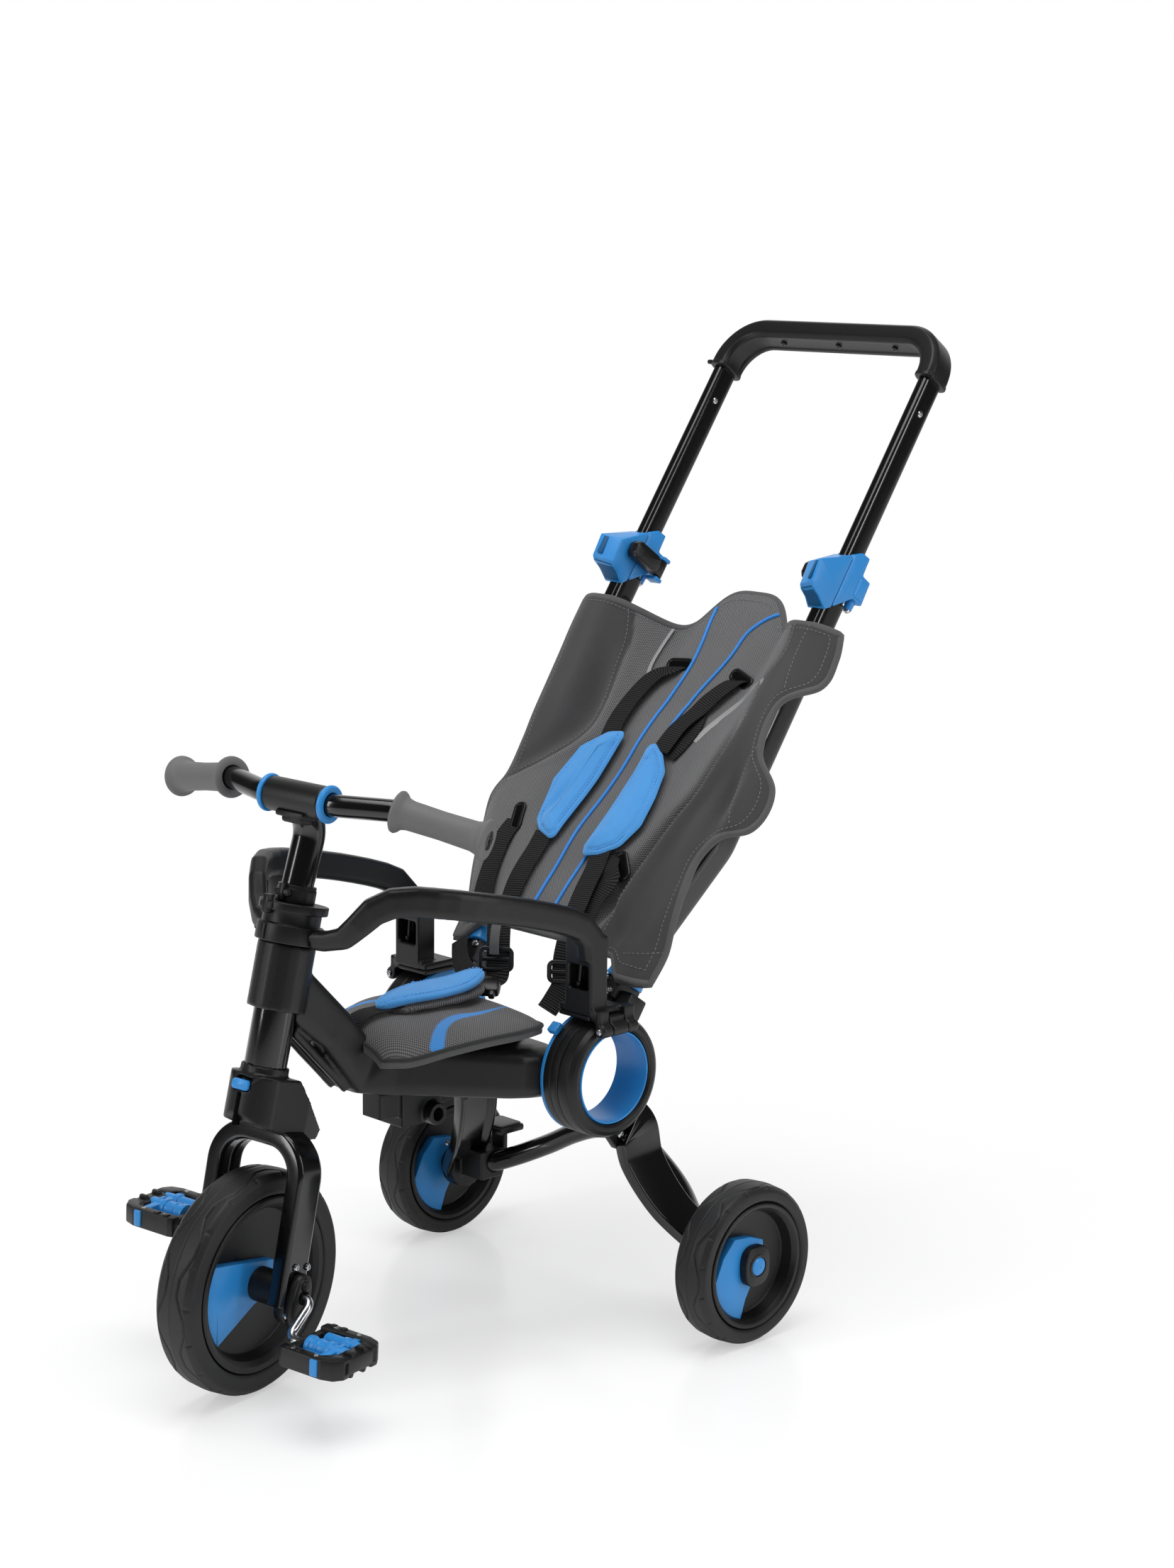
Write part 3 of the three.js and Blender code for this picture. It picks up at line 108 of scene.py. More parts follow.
# %% Camera
CAMERA_AT = np.array([2134.6, HINGE_Y - 1989.8, 1100.9])
CAMERA_TURN, CAMERA_DOWN, CAMERA_ROLL = [math.radians(a) for a in (45.58, 10.62, 0.636)]
FOCAL_PIXELS, PICTURE_HEIGHT, SENSOR = 4151.08, 2212, 36.0


def camera_matrix():
    """Camera axes as columns: right and up turned by the roll, and back, then the place."""
    a, e = CAMERA_TURN, CAMERA_DOWN
    back = np.array([math.sin(a) * math.cos(e), -math.cos(a) * math.cos(e), math.sin(e)])
    right = np.array([math.cos(a), math.sin(a), 0.0])
    up = np.cross(back, right)
    c, s = math.cos(CAMERA_ROLL), math.sin(CAMERA_ROLL)
    rows = np.eye(4)
    rows[:3, 0], rows[:3, 1], rows[:3, 2] = c * right + s * up, -s * right + c * up, back
    rows[:3, 3] = CAMERA_AT * MM
    return Matrix(rows.tolist())


def placed(name, data):
    """An object of this data, put in the scene."""
    made = bpy.data.objects.new(name, data)
    bpy.context.scene.collection.objects.link(made)
    return made


camera = placed("camera", bpy.data.cameras.new("camera"))
camera.matrix_world = camera_matrix()
camera.data.sensor_width = SENSOR
camera.data.lens = FOCAL_PIXELS / PICTURE_HEIGHT * SENSOR
camera.data.dof.use_dof = False
bpy.context.scene.camera = camera
print("lens", round(camera.data.lens, 2), "mm")

# %% [markdown]
# A studio sweep is a white floor that fades into a white wall, and the floor keeps the soft
# shadows. The world is white for the camera and pale as a light. Reflections see it dark, so that
# black stays black, except towards the wall behind the tricycle, which glossy steel mirrors.

# %% Studio
AMBIENT, MIRRORED = 0.60, 0.06
WALL_STARTS, WALL_FULL = 0.45, 0.85


def node(tree, kind, inputs=(), **settings):
    """Adds one node: settings are its properties or inputs, and inputs gives sockets a link or a
    value."""
    made = tree.nodes.new(kind)
    for key, value in settings.items():
        socket = key.replace("_", " ")
        if socket in made.inputs:
            made.inputs[socket].default_value = value
        else:
            setattr(made, key, value)
    for socket, source in dict(inputs).items():
        if isinstance(source, bpy.types.NodeSocket):
            tree.links.new(source, made.inputs[socket])
        else:
            made.inputs[socket].default_value = source
    return made


def emptied(owner):
    """The node tree of a material or world, with nothing in it."""
    owner.use_nodes = True
    owner.node_tree.nodes.clear()
    return owner.node_tree


def white_world():
    """Strength: one for the camera, AMBIENT as a light, and for gloss a share that grows towards
    the wall."""
    world = bpy.data.worlds.new("studio")
    tree = emptied(world)
    rays = node(tree, "ShaderNodeLightPath")
    away = node(tree, "ShaderNodeTexCoord").outputs["Generated"]
    behind = (-math.sin(CAMERA_TURN), math.cos(CAMERA_TURN), 0.0)
    facing = node(tree, "ShaderNodeVectorMath", {0: away, 1: behind}, operation="DOT_PRODUCT")
    ends = {"From Min": WALL_STARTS, "From Max": WALL_FULL, "To Min": MIRRORED, "To Max": 1.0}
    wall = node(
        tree, "ShaderNodeMapRange", {"Value": facing.outputs["Value"], **ends},
        interpolation_type="SMOOTHSTEP"
    )
    plain = node(
        tree, "ShaderNodeMix", {0: rays.outputs["Is Glossy Ray"], 2: AMBIENT, 3: wall.outputs[0]},
        data_type="FLOAT"
    )
    strength = node(
        tree, "ShaderNodeMath", {0: plain.outputs[0], 1: rays.outputs["Is Camera Ray"]},
        operation="MAXIMUM"
    )
    lit = node(tree, "ShaderNodeBackground", {"Strength": strength.outputs[0]}, Color=(1, 1, 1, 1))
    node(tree, "ShaderNodeOutputWorld", {"Surface": lit.outputs[0]})
    bpy.context.scene.world = world


def softbox(name, place, target, size, watts):
    """A rectangular lamp at a place, its face turned to a target."""
    lamp = bpy.data.lights.new(name, "AREA")
    lamp.shape, lamp.size, lamp.size_y, lamp.energy = "RECTANGLE", size[0], size[1], watts
    made = placed(name, lamp)
    made.location = place
    made.rotation_euler = (Vector(target) - Vector(place)).to_track_quat("-Z", "Y").to_euler()


white_world()
softbox("overhead softbox", (0.3, -0.4, 3.2), (0, 0, 0.4), (2.2, 2.2), 52)
softbox("left softbox", (3.0, 1.2, 1.5), (0, 0, 0.5), (0.4, 2.4), 24)
softbox("front softbox", (-1.0, -3.3, 1.6), (0, 0, 0.5), (0.5, 2.4), 30)
bpy.context.scene.view_settings.view_transform = "Standard"
print("world and", len(bpy.data.lights), "softboxes")

# %% Colour helper


def linear(code):
    """sRGB hex to linear: below 0.04045 a straight line, and above it a power of 2.4."""
    shares = np.array([int(code[i : i + 2], 16) / 255 for i in (1, 3, 5)])
    made = np.where(shares <= 0.04045, shares / 12.92, ((shares + 0.055) / 1.055) ** 2.4)
    return (*made.tolist(), 1.0)


# %% [markdown]
# Moulded black plastic is dull because the tool was spark eroded to a fine grain. Painted steel
# is sleek with a faint orange peel. Both are one shader with a little noise in colour,
# roughness and bump, so one function makes them, and the numbers make the difference.

# %% Hard finishes
BROAD_SCALE, GRAIN_DEPTH, COAT_ROUGHNESS = 14.0, 0.0004, 0.08
ROUGH_LOW, ROUGH_HIGH = 0.85, 1.15


def finish(
    name, colour, roughness, grain_mm, bump, metallic=0.0, specular=0.5, coat=0.0, spread=0.12
):
    """A plain finish with grain: noise of the grain's size moves the colour, roughness and bump a
    little."""
    made = bpy.data.materials.new(name)
    tree = emptied(made)
    place = node(tree, "ShaderNodeTexCoord").outputs["Object"]
    fine = node(
        tree, "ShaderNodeTexNoise", {"Vector": place}, Scale=1 / (grain_mm * MM), Detail=3.0
    ).outputs["Fac"]
    broad = node(
        tree, "ShaderNodeTexNoise", {"Vector": place}, Scale=BROAD_SCALE, Detail=4.0
    ).outputs["Fac"]
    base = linear(colour)[:3]
    dark, light = [tuple(min(1, c * (1 + way * spread)) for c in base) + (1,) for way in (-1, 1)]
    mixed = node(tree, "ShaderNodeMix", {0: broad, 6: dark, 7: light}, data_type="RGBA")
    ends = {"To Min": roughness * ROUGH_LOW, "To Max": min(1, roughness * ROUGH_HIGH)}
    rough = node(tree, "ShaderNodeMapRange", {"Value": fine, **ends})
    relief = node(tree, "ShaderNodeBump", {"Height": fine}, Strength=bump, Distance=GRAIN_DEPTH)
    drawn = {
        "Base Color": mixed.outputs[2], "Roughness": rough.outputs[0], "Normal": relief.outputs[0]
    }
    even = {
        "Metallic": metallic, "Specular IOR Level": specular, "Coat Weight": coat,
        "Coat Roughness": COAT_ROUGHNESS
    }
    shader = node(tree, "ShaderNodeBsdfPrincipled", {**drawn, **even})
    node(tree, "ShaderNodeOutputMaterial", {"Surface": shader.outputs[0]})
    return made


# Spark-eroded polypropylene: a fine dull grain, drawn at 0.9 mm so that it shows
black_plastic = finish("moulded black polypropylene", "#101011", 0.40, 0.9, 0.25, specular=0.42)
# Smooth moulded ABS: satin
blue_plastic = finish("moulded blue ABS", "#2a84ca", 0.34, 1.4, 0.10, specular=0.45)
# Powder-coated steel tube: glossy, with a faint orange peel
black_steel = finish(
    "gloss black powder-coated steel", "#070708", 0.18, 3.0, 0.015, specular=0.5, coat=0.4
)
# Foamed EVA tyre: dull, slightly mottled
tyre_foam = finish("black EVA tyre foam", "#1d1d1e", 0.5, 1.2, 0.3, specular=0.42)
# Soft TPR grip: dull grey rubber
grey_rubber = finish("grey TPR grip rubber", "#656566", 0.6, 1.0, 0.2, specular=0.4)
# Zinc-plated steel: bright, slightly drawn
zinc = finish("bright zinc-plated steel", "#c2c4c7", 0.22, 0.8, 0.1, metallic=1.0)
# Nylon buckle: smooth black
nylon = finish("smooth black nylon", "#0d0d0e", 0.32, 1.0, 0.1, specular=0.45)
# Painted shade: near black for the void inside sockets and slots, where little light comes
hollow_painted_shade = finish("painted shade of hollows", "#040404", 0.9, 1.0, 0.0, specular=0.1)
# White studio paper: even, with no grain to speak of
floor_white = finish("white studio paper", "#fbfbfb", 0.5, 6.0, 0.0, specular=0.3, spread=0.004)

# %% [markdown]
# Every new piece is a surface worked out as one array of points, and a list of four-sided
# faces. Poles and seams are closed by merging points that meet.

# %% Surface helpers
MERGE, CAD_MERGE = 1e-6, 1e-5
X, Y, Z = 0, 1, 2
SIDES = (("left", 1), ("right", -1))


def grid_faces(rows, columns, closed_rows=False, closed_columns=False):
    """Faces of a grid: each joins a point, the next along, the next in both, and the next row's."""
    i = np.arange(rows if closed_rows else rows - 1)
    j = np.arange(columns if closed_columns else columns - 1)
    i, j = np.meshgrid(i, j, indexing="ij")
    ni, nj = (i + 1) % rows, (j + 1) % columns
    return np.stack(
        [i * columns + j, ni * columns + j, ni * columns + nj, i * columns + nj], -1
    ).reshape(-1, 4)


def surface(points, closed_rows=False, closed_columns=False):
    """A shape from a grid of points."""
    rows, columns = points.shape[:2]
    return points.reshape(-1, 3), grid_faces(rows, columns, closed_rows, closed_columns)


def merged(*shapes):
    """Several shapes as one."""
    points, faces, count = [], [], 0
    for p, f in shapes:
        points.append(p)
        faces.append(f + count)
        count += len(p)
    return np.concatenate(points), np.concatenate(faces)


def shifted(shape, offset, turn=np.eye(3)):
    """A shape turned, then moved."""
    return np.asarray(shape[0]) @ np.asarray(turn).T + np.asarray(offset, float), shape[1]


def mirrored(shape, side=-1):
    """The same shape on the other side; the faces are turned outwards when the piece is made."""
    return shape[0] * np.array([side, 1, 1]), shape[1]


def smooth_share(t):
    """Rises from 0 to 1 without a corner: three times the square less twice the cube."""
    t = np.clip(t, 0, 1)
    return t * t * (3 - 2 * t)


def rounded(corners, radius, steps=5, closed=True):
    """A line with each corner replaced by a circle's arc: a rational curve with the half turn's
    cosine as weight."""
    p = np.asarray(corners, float)
    before, after = np.roll(p, 1, 0) - p, np.roll(p, -1, 0) - p
    lb, la = np.linalg.norm(before, axis=1), np.linalg.norm(after, axis=1)
    ub, ua = before / np.maximum(lb, 1e-9)[:, None], after / np.maximum(la, 1e-9)[:, None]
    half_turn = (math.pi - np.arccos(np.clip((ub * ua).sum(1), -1, 1))) / 2
    inset = np.minimum(radius * np.tan(np.minimum(half_turn, 1.5)), 0.48 * np.minimum(lb, la))
    if not closed:
        inset[0] = inset[-1] = 0
    t = np.linspace(0, 1, steps + 1)[None, :, None]
    w = np.cos(half_turn)[:, None, None]
    a, c = (p + ub * inset[:, None])[:, None], (p + ua * inset[:, None])[:, None]
    b = p[:, None]
    arc = (
        ((1 - t) ** 2 * a + 2 * t * (1 - t) * w * b + t**2 * c)
        / ((1 - t) ** 2 + 2 * t * (1 - t) * w + t**2)
    )
    if closed:
        return arc.reshape(-1, p.shape[1])
    return np.concatenate([p[:1], arc[1:-1].reshape(-1, p.shape[1]), p[-1:]])


def evenly(line, count, closed=False):
    """Points at equal steps along a line, found by its running length."""
    p = np.asarray(line, float)
    if closed:
        p = np.concatenate([p, p[:1]])
    run = np.concatenate([[0], np.cumsum(np.linalg.norm(np.diff(p, axis=0), axis=1))])
    at = np.linspace(0, run[-1], count + 1)[:-1] if closed else np.linspace(0, run[-1], count)
    return np.stack([np.interp(at, run, p[:, k]) for k in range(p.shape[1])], 1)


def spline(points, count=60):
    """A smooth line through points: cubic pieces whose slopes are the mean slopes of the chords."""
    p = np.asarray(points, float)
    chord = np.concatenate([[0], np.cumsum(np.sqrt(np.linalg.norm(np.diff(p, axis=0), axis=1)))])
    slope = np.gradient(p, chord, axis=0)
    t = np.linspace(0, chord[-1], count)
    k = np.clip(np.searchsorted(chord, t, "right") - 1, 0, len(p) - 2)
    h = (chord[k + 1] - chord[k])[:, None]
    s = ((t - chord[k])[:, None]) / h
    return (
        (2 * s**3 - 3 * s**2 + 1) * p[k]
        + (s**3 - 2 * s**2 + s) * h * slope[k]
        + (3 * s**2 - 2 * s**3) * p[k + 1]
        + (s**3 - s**2) * h * slope[k + 1]
    )


def turned(profile, segments=96, axis=X, round_by=0.0):
    """Turned shape: each (along, radius) point goes round the axis by cosine and sine."""
    p = np.asarray(profile, float)
    if round_by:
        p = rounded(p, round_by, 3)
    angle = np.linspace(0, 2 * math.pi, segments, endpoint=False)
    along = np.repeat(p[:, :1], segments, 1)
    a, b = p[:, 1:] * np.cos(angle), p[:, 1:] * np.sin(angle)
    order = {X: (along, a, b), Y: (b, along, a), Z: (a, b, along)}[axis]
    return surface(np.stack(order, -1), closed_rows=True, closed_columns=True)


def bent(corners, radius, steps, count):
    """The line of a bent rod: its corners rounded to the bending radius, in even steps."""
    return evenly(rounded(corners, radius, steps, False), count)


def soft_loop(corners, radius, steps, count):
    """A closed outline with rounded corners, in even steps."""
    return evenly(rounded(corners, radius, steps), count, closed=True)


def routed(points, fine, count):
    """A smooth line through points, in even steps."""
    return evenly(spline(points, fine), count)


def oblong(half_wide, half_tall):
    """The four corners of an oblong round the middle."""
    return [
        [-half_wide, -half_tall], [half_wide, -half_tall], [half_wide, half_tall],
        [-half_wide, half_tall]
    ]


def bar(start, end, radius, inner=0.0):
    """Profile of a turned bar or ring."""
    return [[start, inner], [start, radius], [end, radius], [end, inner]]


def oval_section(across, out, power=1.0, sides=32):
    """A closed outline: across and out times a cosine and sine, each raised to a power that squares
    it."""
    angle = (np.arange(sides) + 0.5) / sides * 2 * math.pi
    c, s = np.cos(angle), np.sin(angle)
    return np.stack(
        [across * np.sign(c) * np.abs(c) ** power, out * np.sign(s) * np.abs(s) ** power], 1
    )


def carried(path, section, lie, cap=1.2, scale=1.0):
    """A section carried along a path: centre plus its first value times wide, plus its second times
    deep."""
    p = np.asarray(path, float)
    along = np.gradient(p, axis=0)
    along /= np.linalg.norm(along, axis=1)[:, None]
    lie = np.broadcast_to(np.asarray(lie, float), p.shape)
    wide = lie - along * (lie * along).sum(1)[:, None]
    wide /= np.linalg.norm(wide, axis=1)[:, None]
    deep = np.cross(wide, along)
    # Each end is drawn in over three loops, the last one a point
    least = cap / np.abs(section).max(0).min()
    ends = np.array([[0, 0], [1 - least, 0], [1 - 0.3 * least, 0.3 * cap], [1, cap]])
    pick = np.concatenate([[0] * 4, np.arange(1, len(p) - 1), [len(p) - 1] * 4])
    share = np.concatenate([ends[:, 0], np.ones(len(p) - 2), ends[::-1, 0]])
    slide = np.concatenate([ends[:, 1], np.zeros(len(p) - 2), -ends[::-1, 1]])
    centre = p[pick] + along[pick] * slide[:, None]
    size = (share * np.broadcast_to(scale, len(p))[pick])[:, None, None]
    ring = section[None, :, :1] * wide[pick][:, None] + section[None, :, 1:] * deep[pick][:, None]
    return surface(centre[:, None] + size * ring, closed_columns=True)


def tube(path, across, out, lie, power=1.0, sides=32, cap=1.2, scale=1.0):
    """A squared oval carried along a path."""
    return carried(path, oval_section(across, out, power, sides), lie, cap, scale)


def looped(path, section, lie):
    """A section carried round a closed path: its width along lie, squared to the path."""
    p = np.asarray(path, float)
    along = np.roll(p, -1, 0) - np.roll(p, 1, 0)
    along /= np.linalg.norm(along, axis=1)[:, None]
    lie = np.broadcast_to(np.asarray(lie, float), p.shape)
    wide = lie - along * (lie * along).sum(1)[:, None]
    wide /= np.linalg.norm(wide, axis=1)[:, None]
    deep = np.cross(wide, along)
    ring = section[None, :, :1] * wide[:, None] + section[None, :, 1:] * deep[:, None]
    return surface(p[:, None] + ring, closed_rows=True, closed_columns=True)


def hoop(outline, section):
    """A section carried round a flat outline that stands in the plane of X and Z."""
    path = np.stack([outline[:, 0], 0 * outline[:, 0], outline[:, 1]], 1)
    return looped(path, section, (0, 1, 0))


def block(low, high, round_by=1.5, steps=2):
    """A box with rounded edges: a ball's points, pushed out to the box's corners less the round."""
    low, high = np.asarray(low, float), np.asarray(high, float)
    r = min(round_by, 0.49 * (high - low).min())
    quarter = np.linspace(0, math.pi / 2, steps + 1)
    around = np.concatenate([quarter + k * math.pi / 2 for k in range(4)])
    corner = np.repeat([[1, 1], [-1, 1], [-1, -1], [1, -1]], steps + 1, 0)
    rise = np.concatenate([[-math.pi / 2], -quarter[::-1], quarter, [math.pi / 2]])
    lift = np.concatenate([[-1], [-1] * (steps + 1), [1] * (steps + 1), [1]])
    flat = np.ones(len(rise))
    flat[0] = flat[-1] = 0
    middle, half = (low + high) / 2, (high - low) / 2 - r
    x = (
        middle[0]
        + flat[:, None] * (
            corner[None, :, 0] * half[0] + r * np.cos(rise)[:, None] * np.cos(around)
        )
    )
    y = (
        middle[1]
        + flat[:, None] * (
            corner[None, :, 1] * half[1] + r * np.cos(rise)[:, None] * np.sin(around)
        )
    )
    z = middle[2] + (lift * half[2] + r * np.sin(rise))[:, None] + 0 * x
    return surface(np.stack([x, y, z], -1), closed_columns=True)


def plate(outline, start, end, axis=X, round_by=1.0, corner=0.0, centre=None):
    """A flat outline given thickness: loops drawn in a little at each face, and closed at its
    centre."""
    p = np.asarray(outline, float)
    if corner:
        p = rounded(p, corner, 4)
    edge = np.roll(p, -1, 0) - np.roll(p, 1, 0)
    normal = (
        np.stack([edge[:, 1], -edge[:, 0]], 1)
        / np.maximum(np.linalg.norm(edge, axis=1), 1e-9)[:, None]
    )
    normal *= np.sign((p[:, 0] * np.roll(p[:, 1], -1) - p[:, 1] * np.roll(p[:, 0], -1)).sum())
    middle = p.mean(0) if centre is None else np.asarray(centre, float)
    r = round_by
    rings = [
        (r, start), (0.3 * r, start + 0.3 * r), (0, start + r), (0, end - r),
        (0.3 * r, end - 0.3 * r), (r, end)
    ]
    loops = [np.concatenate([p - normal * d, np.full((len(p), 1), z)], 1) for d, z in rings]
    point = [np.concatenate([0 * p + middle, np.full((len(p), 1), z)], 1) for z in (start, end)]
    layers = np.stack([point[0], *loops, point[1]])
    order = {X: (2, 0, 1), Y: (0, 2, 1), Z: (0, 1, 2)}[axis]
    return surface(layers[..., list(order)], closed_columns=True)


def aimed(axis):
    """A turn that takes Z to the given direction: its columns are two square directions and the
    direction."""
    z = np.asarray(axis, float) / np.linalg.norm(axis)
    x = np.cross([0, 1, 0] if abs(z[1]) < 0.9 else [1, 0, 0], z)
    x /= np.linalg.norm(x)
    return np.stack([x, np.cross(z, x), z], 1)


def screw(at, axis, radius=4.0):
    """A pan-head screw with a recess, turned about the direction it faces."""
    r = radius
    profile = [
        [-2, 0], [-2, r], [0.25 * r, r], [0.55 * r, 0.75 * r], [0.62 * r, 0.4 * r],
        [0.2 * r, 0.28 * r], [0.2 * r, 0]
    ]
    return shifted(turned(profile, 20, Z, 0.2), at, aimed(axis))


def stitches(path, out, long=3.4, gap=1.8, radius=0.55):
    """Short threads in a row: each a five-sided bar laid along the path's own direction."""
    p = np.asarray(path, float)
    run = np.linalg.norm(np.diff(p, axis=0), axis=1).sum()
    count = max(2, int(run / (long + gap)))
    middle = evenly(p, count * 2 + 1)[1::2]
    along = np.gradient(middle, axis=0)
    along /= np.linalg.norm(along, axis=1)[:, None]
    out = np.broadcast_to(out, middle.shape)
    side = np.cross(along, out)
    side /= np.linalg.norm(side, axis=1)[:, None]
    lift = np.cross(side, along)
    sides = 5
    angle = np.arange(sides) / sides * 2 * math.pi
    loops = []
    for step, share in ((-0.5, 0), (-0.4, 1), (0.4, 1), (0.5, 0)):
        ring = (
            share * radius
            * (np.cos(angle)[:, None, None] * side + np.sin(angle)[:, None, None] * lift)
        )
        loops.append(middle + along * long * step + ring)
    grid = np.stack(loops).transpose(2, 0, 1, 3)
    return merged(*[surface(one, closed_columns=True) for one in grid])


def handed(made, body, replaces):
    """Hides the solid that a piece stands for, and hangs the piece on the body it rides on."""
    if replaces:
        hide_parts(replaces)
    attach(made, body)
    return made


def piece(name, shape, place, material, body, replaces=None, smooth=40, cloth=None):
    """Makes a mesh object from a shape: merges doubles and turns the faces outwards."""
    points, faces = shape
    mesh = bpy.data.meshes.new(name)
    mesh.from_pydata((moved(place, points) * MM).tolist(), [], faces.tolist())
    if cloth is not None:
        made = mesh.attributes.new("cloth", "FLOAT_VECTOR", "POINT")
        made.data.foreach_set("vector", np.asarray(cloth, np.float32).ravel())
    work = bmesh.new()
    work.from_mesh(mesh)
    bmesh.ops.remove_doubles(work, verts=work.verts, dist=MERGE)
    bmesh.ops.recalc_face_normals(work, faces=work.faces)
    work.to_mesh(mesh)
    work.free()
    mesh.shade_smooth()
    mesh.set_sharp_from_angle(angle=math.radians(smooth))
    mesh.materials.append(material)
    return handed(placed(name, mesh), body, replaces)


def moulded(name, source, body, voxel, passes):
    """A softened copy of a solid: remade from cubes of the voxel's size, then each point moves to
    its neighbours' mean."""
    copy = frame["nodes"][source].data.copy()
    copy.name = name
    made = placed(name, copy)
    work = bmesh.new()
    work.from_mesh(copy)
    bmesh.ops.remove_doubles(work, verts=work.verts, dist=CAD_MERGE)
    work.to_mesh(copy)
    work.free()
    remade = made.modifiers.new("remesh", "REMESH")
    remade.mode, remade.voxel_size, remade.use_smooth_shade = "VOXEL", voxel * MM, True
    soft = made.modifiers.new("soften", "SMOOTH")
    soft.factor, soft.iterations = 0.5, passes
    depsgraph = bpy.context.evaluated_depsgraph_get()
    final = bpy.data.meshes.new_from_object(made.evaluated_get(depsgraph))
    made.modifiers.clear()
    made.data = final
    final.materials.clear()
    final.materials.append(black_plastic)
    final.shade_smooth()
    print(name, len(final.polygons), "faces")
    return handed(made, body, source)


# %% [markdown]
# Cloth is drawn in its own plane. Each cloth piece carries an attribute with two lengths across
# and along the cloth, in metres, and a third value that blends the knitted mesh of the seat's
# middle into the plain weave of its wings.

# %% Cloth
WEAVE_DEPTH, PLAIN_SPACING, RIB_SHARE = 0.0005, 1.3, 3.0
WORN_LOW, WORN_HIGH, WORN_SCALE = 0.88, 1.12, 18.0
# The product of the waves below HOLE is all hole, and above THREAD all thread
HOLE, THREAD, CLOTH_SPECULAR = -0.9, 0.6, 0.25


def waves(tree, coordinate, spacing_mm):
    """Threads: the sine of a length times a full turn over the spacing."""
    turns = node(
        tree, "ShaderNodeMath", {0: coordinate, 1: 2 * math.pi / (spacing_mm * MM)},
        operation="MULTIPLY"
    )
    return node(tree, "ShaderNodeMath", {0: turns.outputs[0]}, operation="SINE").outputs[0]


def cloth(name, dark, light, spacing, plain=None, rib=False, bump=0.5, sheen=0.15, roughness=0.85):
    """Woven cloth: the product of two waves lifts the threads; plain gives a second colour pair for
    wings."""
    made = bpy.data.materials.new(name)
    tree = emptied(made)
    own = node(tree, "ShaderNodeAttribute", attribute_name="cloth").outputs["Vector"]
    parts = node(tree, "ShaderNodeSeparateXYZ", {0: own})
    if rib:
        # Webbing has ribs across it, three spacings apart
        threads = waves(tree, parts.outputs[1], spacing * RIB_SHARE)
    else:
        both_ways = {k: waves(tree, parts.outputs[k], spacing) for k in (0, 1)}
        threads = node(tree, "ShaderNodeMath", both_ways, operation="MULTIPLY").outputs[0]
    lifted = node(
        tree, "ShaderNodeMapRange", {"Value": threads, "From Min": HOLE, "From Max": THREAD}
    )
    pattern = node(
        tree, "ShaderNodeMix", {0: lifted.outputs[0], 6: linear(dark), 7: linear(light)},
        data_type="RGBA"
    )
    colour, height = pattern.outputs[2], lifted.outputs[0]
    if plain:
        # The plain weave of the wings is finer, and has no holes
        both_ways = {k: waves(tree, parts.outputs[k], PLAIN_SPACING) for k in (0, 1)}
        fine = node(tree, "ShaderNodeMath", both_ways, operation="MULTIPLY")
        soft = node(
            tree, "ShaderNodeMapRange", {"Value": fine.outputs[0], "From Min": -1}
        ).outputs[0]
        second = node(
            tree, "ShaderNodeMix", {0: soft, 6: linear(plain[0]), 7: linear(plain[1])},
            data_type="RGBA"
        )
        share = parts.outputs[2]
        colour = node(
            tree, "ShaderNodeMix", {0: share, 6: second.outputs[2], 7: colour}, data_type="RGBA"
        ).outputs[2]
        height = node(
            tree, "ShaderNodeMix", {0: share, 2: soft, 3: height}, data_type="FLOAT"
        ).outputs[0]
    # Handling leaves broad, faint shades
    place = node(tree, "ShaderNodeTexCoord").outputs["Object"]
    broad = node(tree, "ShaderNodeTexNoise", {"Vector": place}, Scale=WORN_SCALE, Detail=4.0)
    shade = node(
        tree, "ShaderNodeMapRange",
        {"Value": broad.outputs["Fac"], "To Min": WORN_LOW, "To Max": WORN_HIGH}
    )
    worn = node(
        tree, "ShaderNodeVectorMath", {0: colour, 1: shade.outputs[0]}, operation="MULTIPLY"
    )
    relief = node(tree, "ShaderNodeBump", {"Height": height}, Strength=bump, Distance=WEAVE_DEPTH)
    drawn = {"Base Color": worn.outputs[0], "Normal": relief.outputs[0]}
    even = {"Roughness": roughness, "Specular IOR Level": CLOTH_SPECULAR, "Sheen Weight": sheen}
    shader = node(tree, "ShaderNodeBsdfPrincipled", {**drawn, **even})
    node(tree, "ShaderNodeOutputMaterial", {"Surface": shader.outputs[0]})
    return made


def weave(across, along, share=0.0):
    """The cloth attribute: two lengths on the cloth in metres, and the share of the open mesh."""
    across, along, share = np.broadcast_arrays(across, along, share)
    return np.stack([across * MM, along * MM, share], -1)


# Air-mesh polyester: open knit cells, drawn at 2.5 mm so that they show; the wings are plain weave
seat_cloth = cloth(
    "grey air-mesh and plain-weave polyester", "#2c2c2d", "#727273", 2.5,
    plain=("#343435", "#464647")
)
# The same mesh over foam; its second pair is the blue of the printed stripes
cushion_cloth = cloth(
    "grey ribbed air-mesh polyester", "#2a2a2b", "#6c6c6d", 2.8, plain=("#2f76bd", "#4a90d2")
)
# Bias binding: plain weave, folded round an edge
dark_binding = cloth("charcoal bias binding", "#242425", "#323233", 1.3)
binding_cloth = cloth("dark grey bias binding", "#474748", "#585859", 1.3)
# Brushed polyester of the pads: soft, with a faint sheen
blue_cloth = cloth("blue brushed polyester", "#3580c2", "#4f97d6", 1.4, bump=0.3, sheen=0.2)
# Polypropylene webbing: ribbed across, with no sheen
webbing = cloth(
    "black polypropylene webbing", "#060606", "#2b2b2c", 0.9, rib=True, bump=1.0, sheen=0.0
)
# Painted shade: a dark teal for the blue plastic inside the collars' slots, where little light
# comes
collar_painted_shade = finish("painted shade in blue ABS slots", "#0b4e7c", 0.5, 1.4, 0.1, specular=0.3)
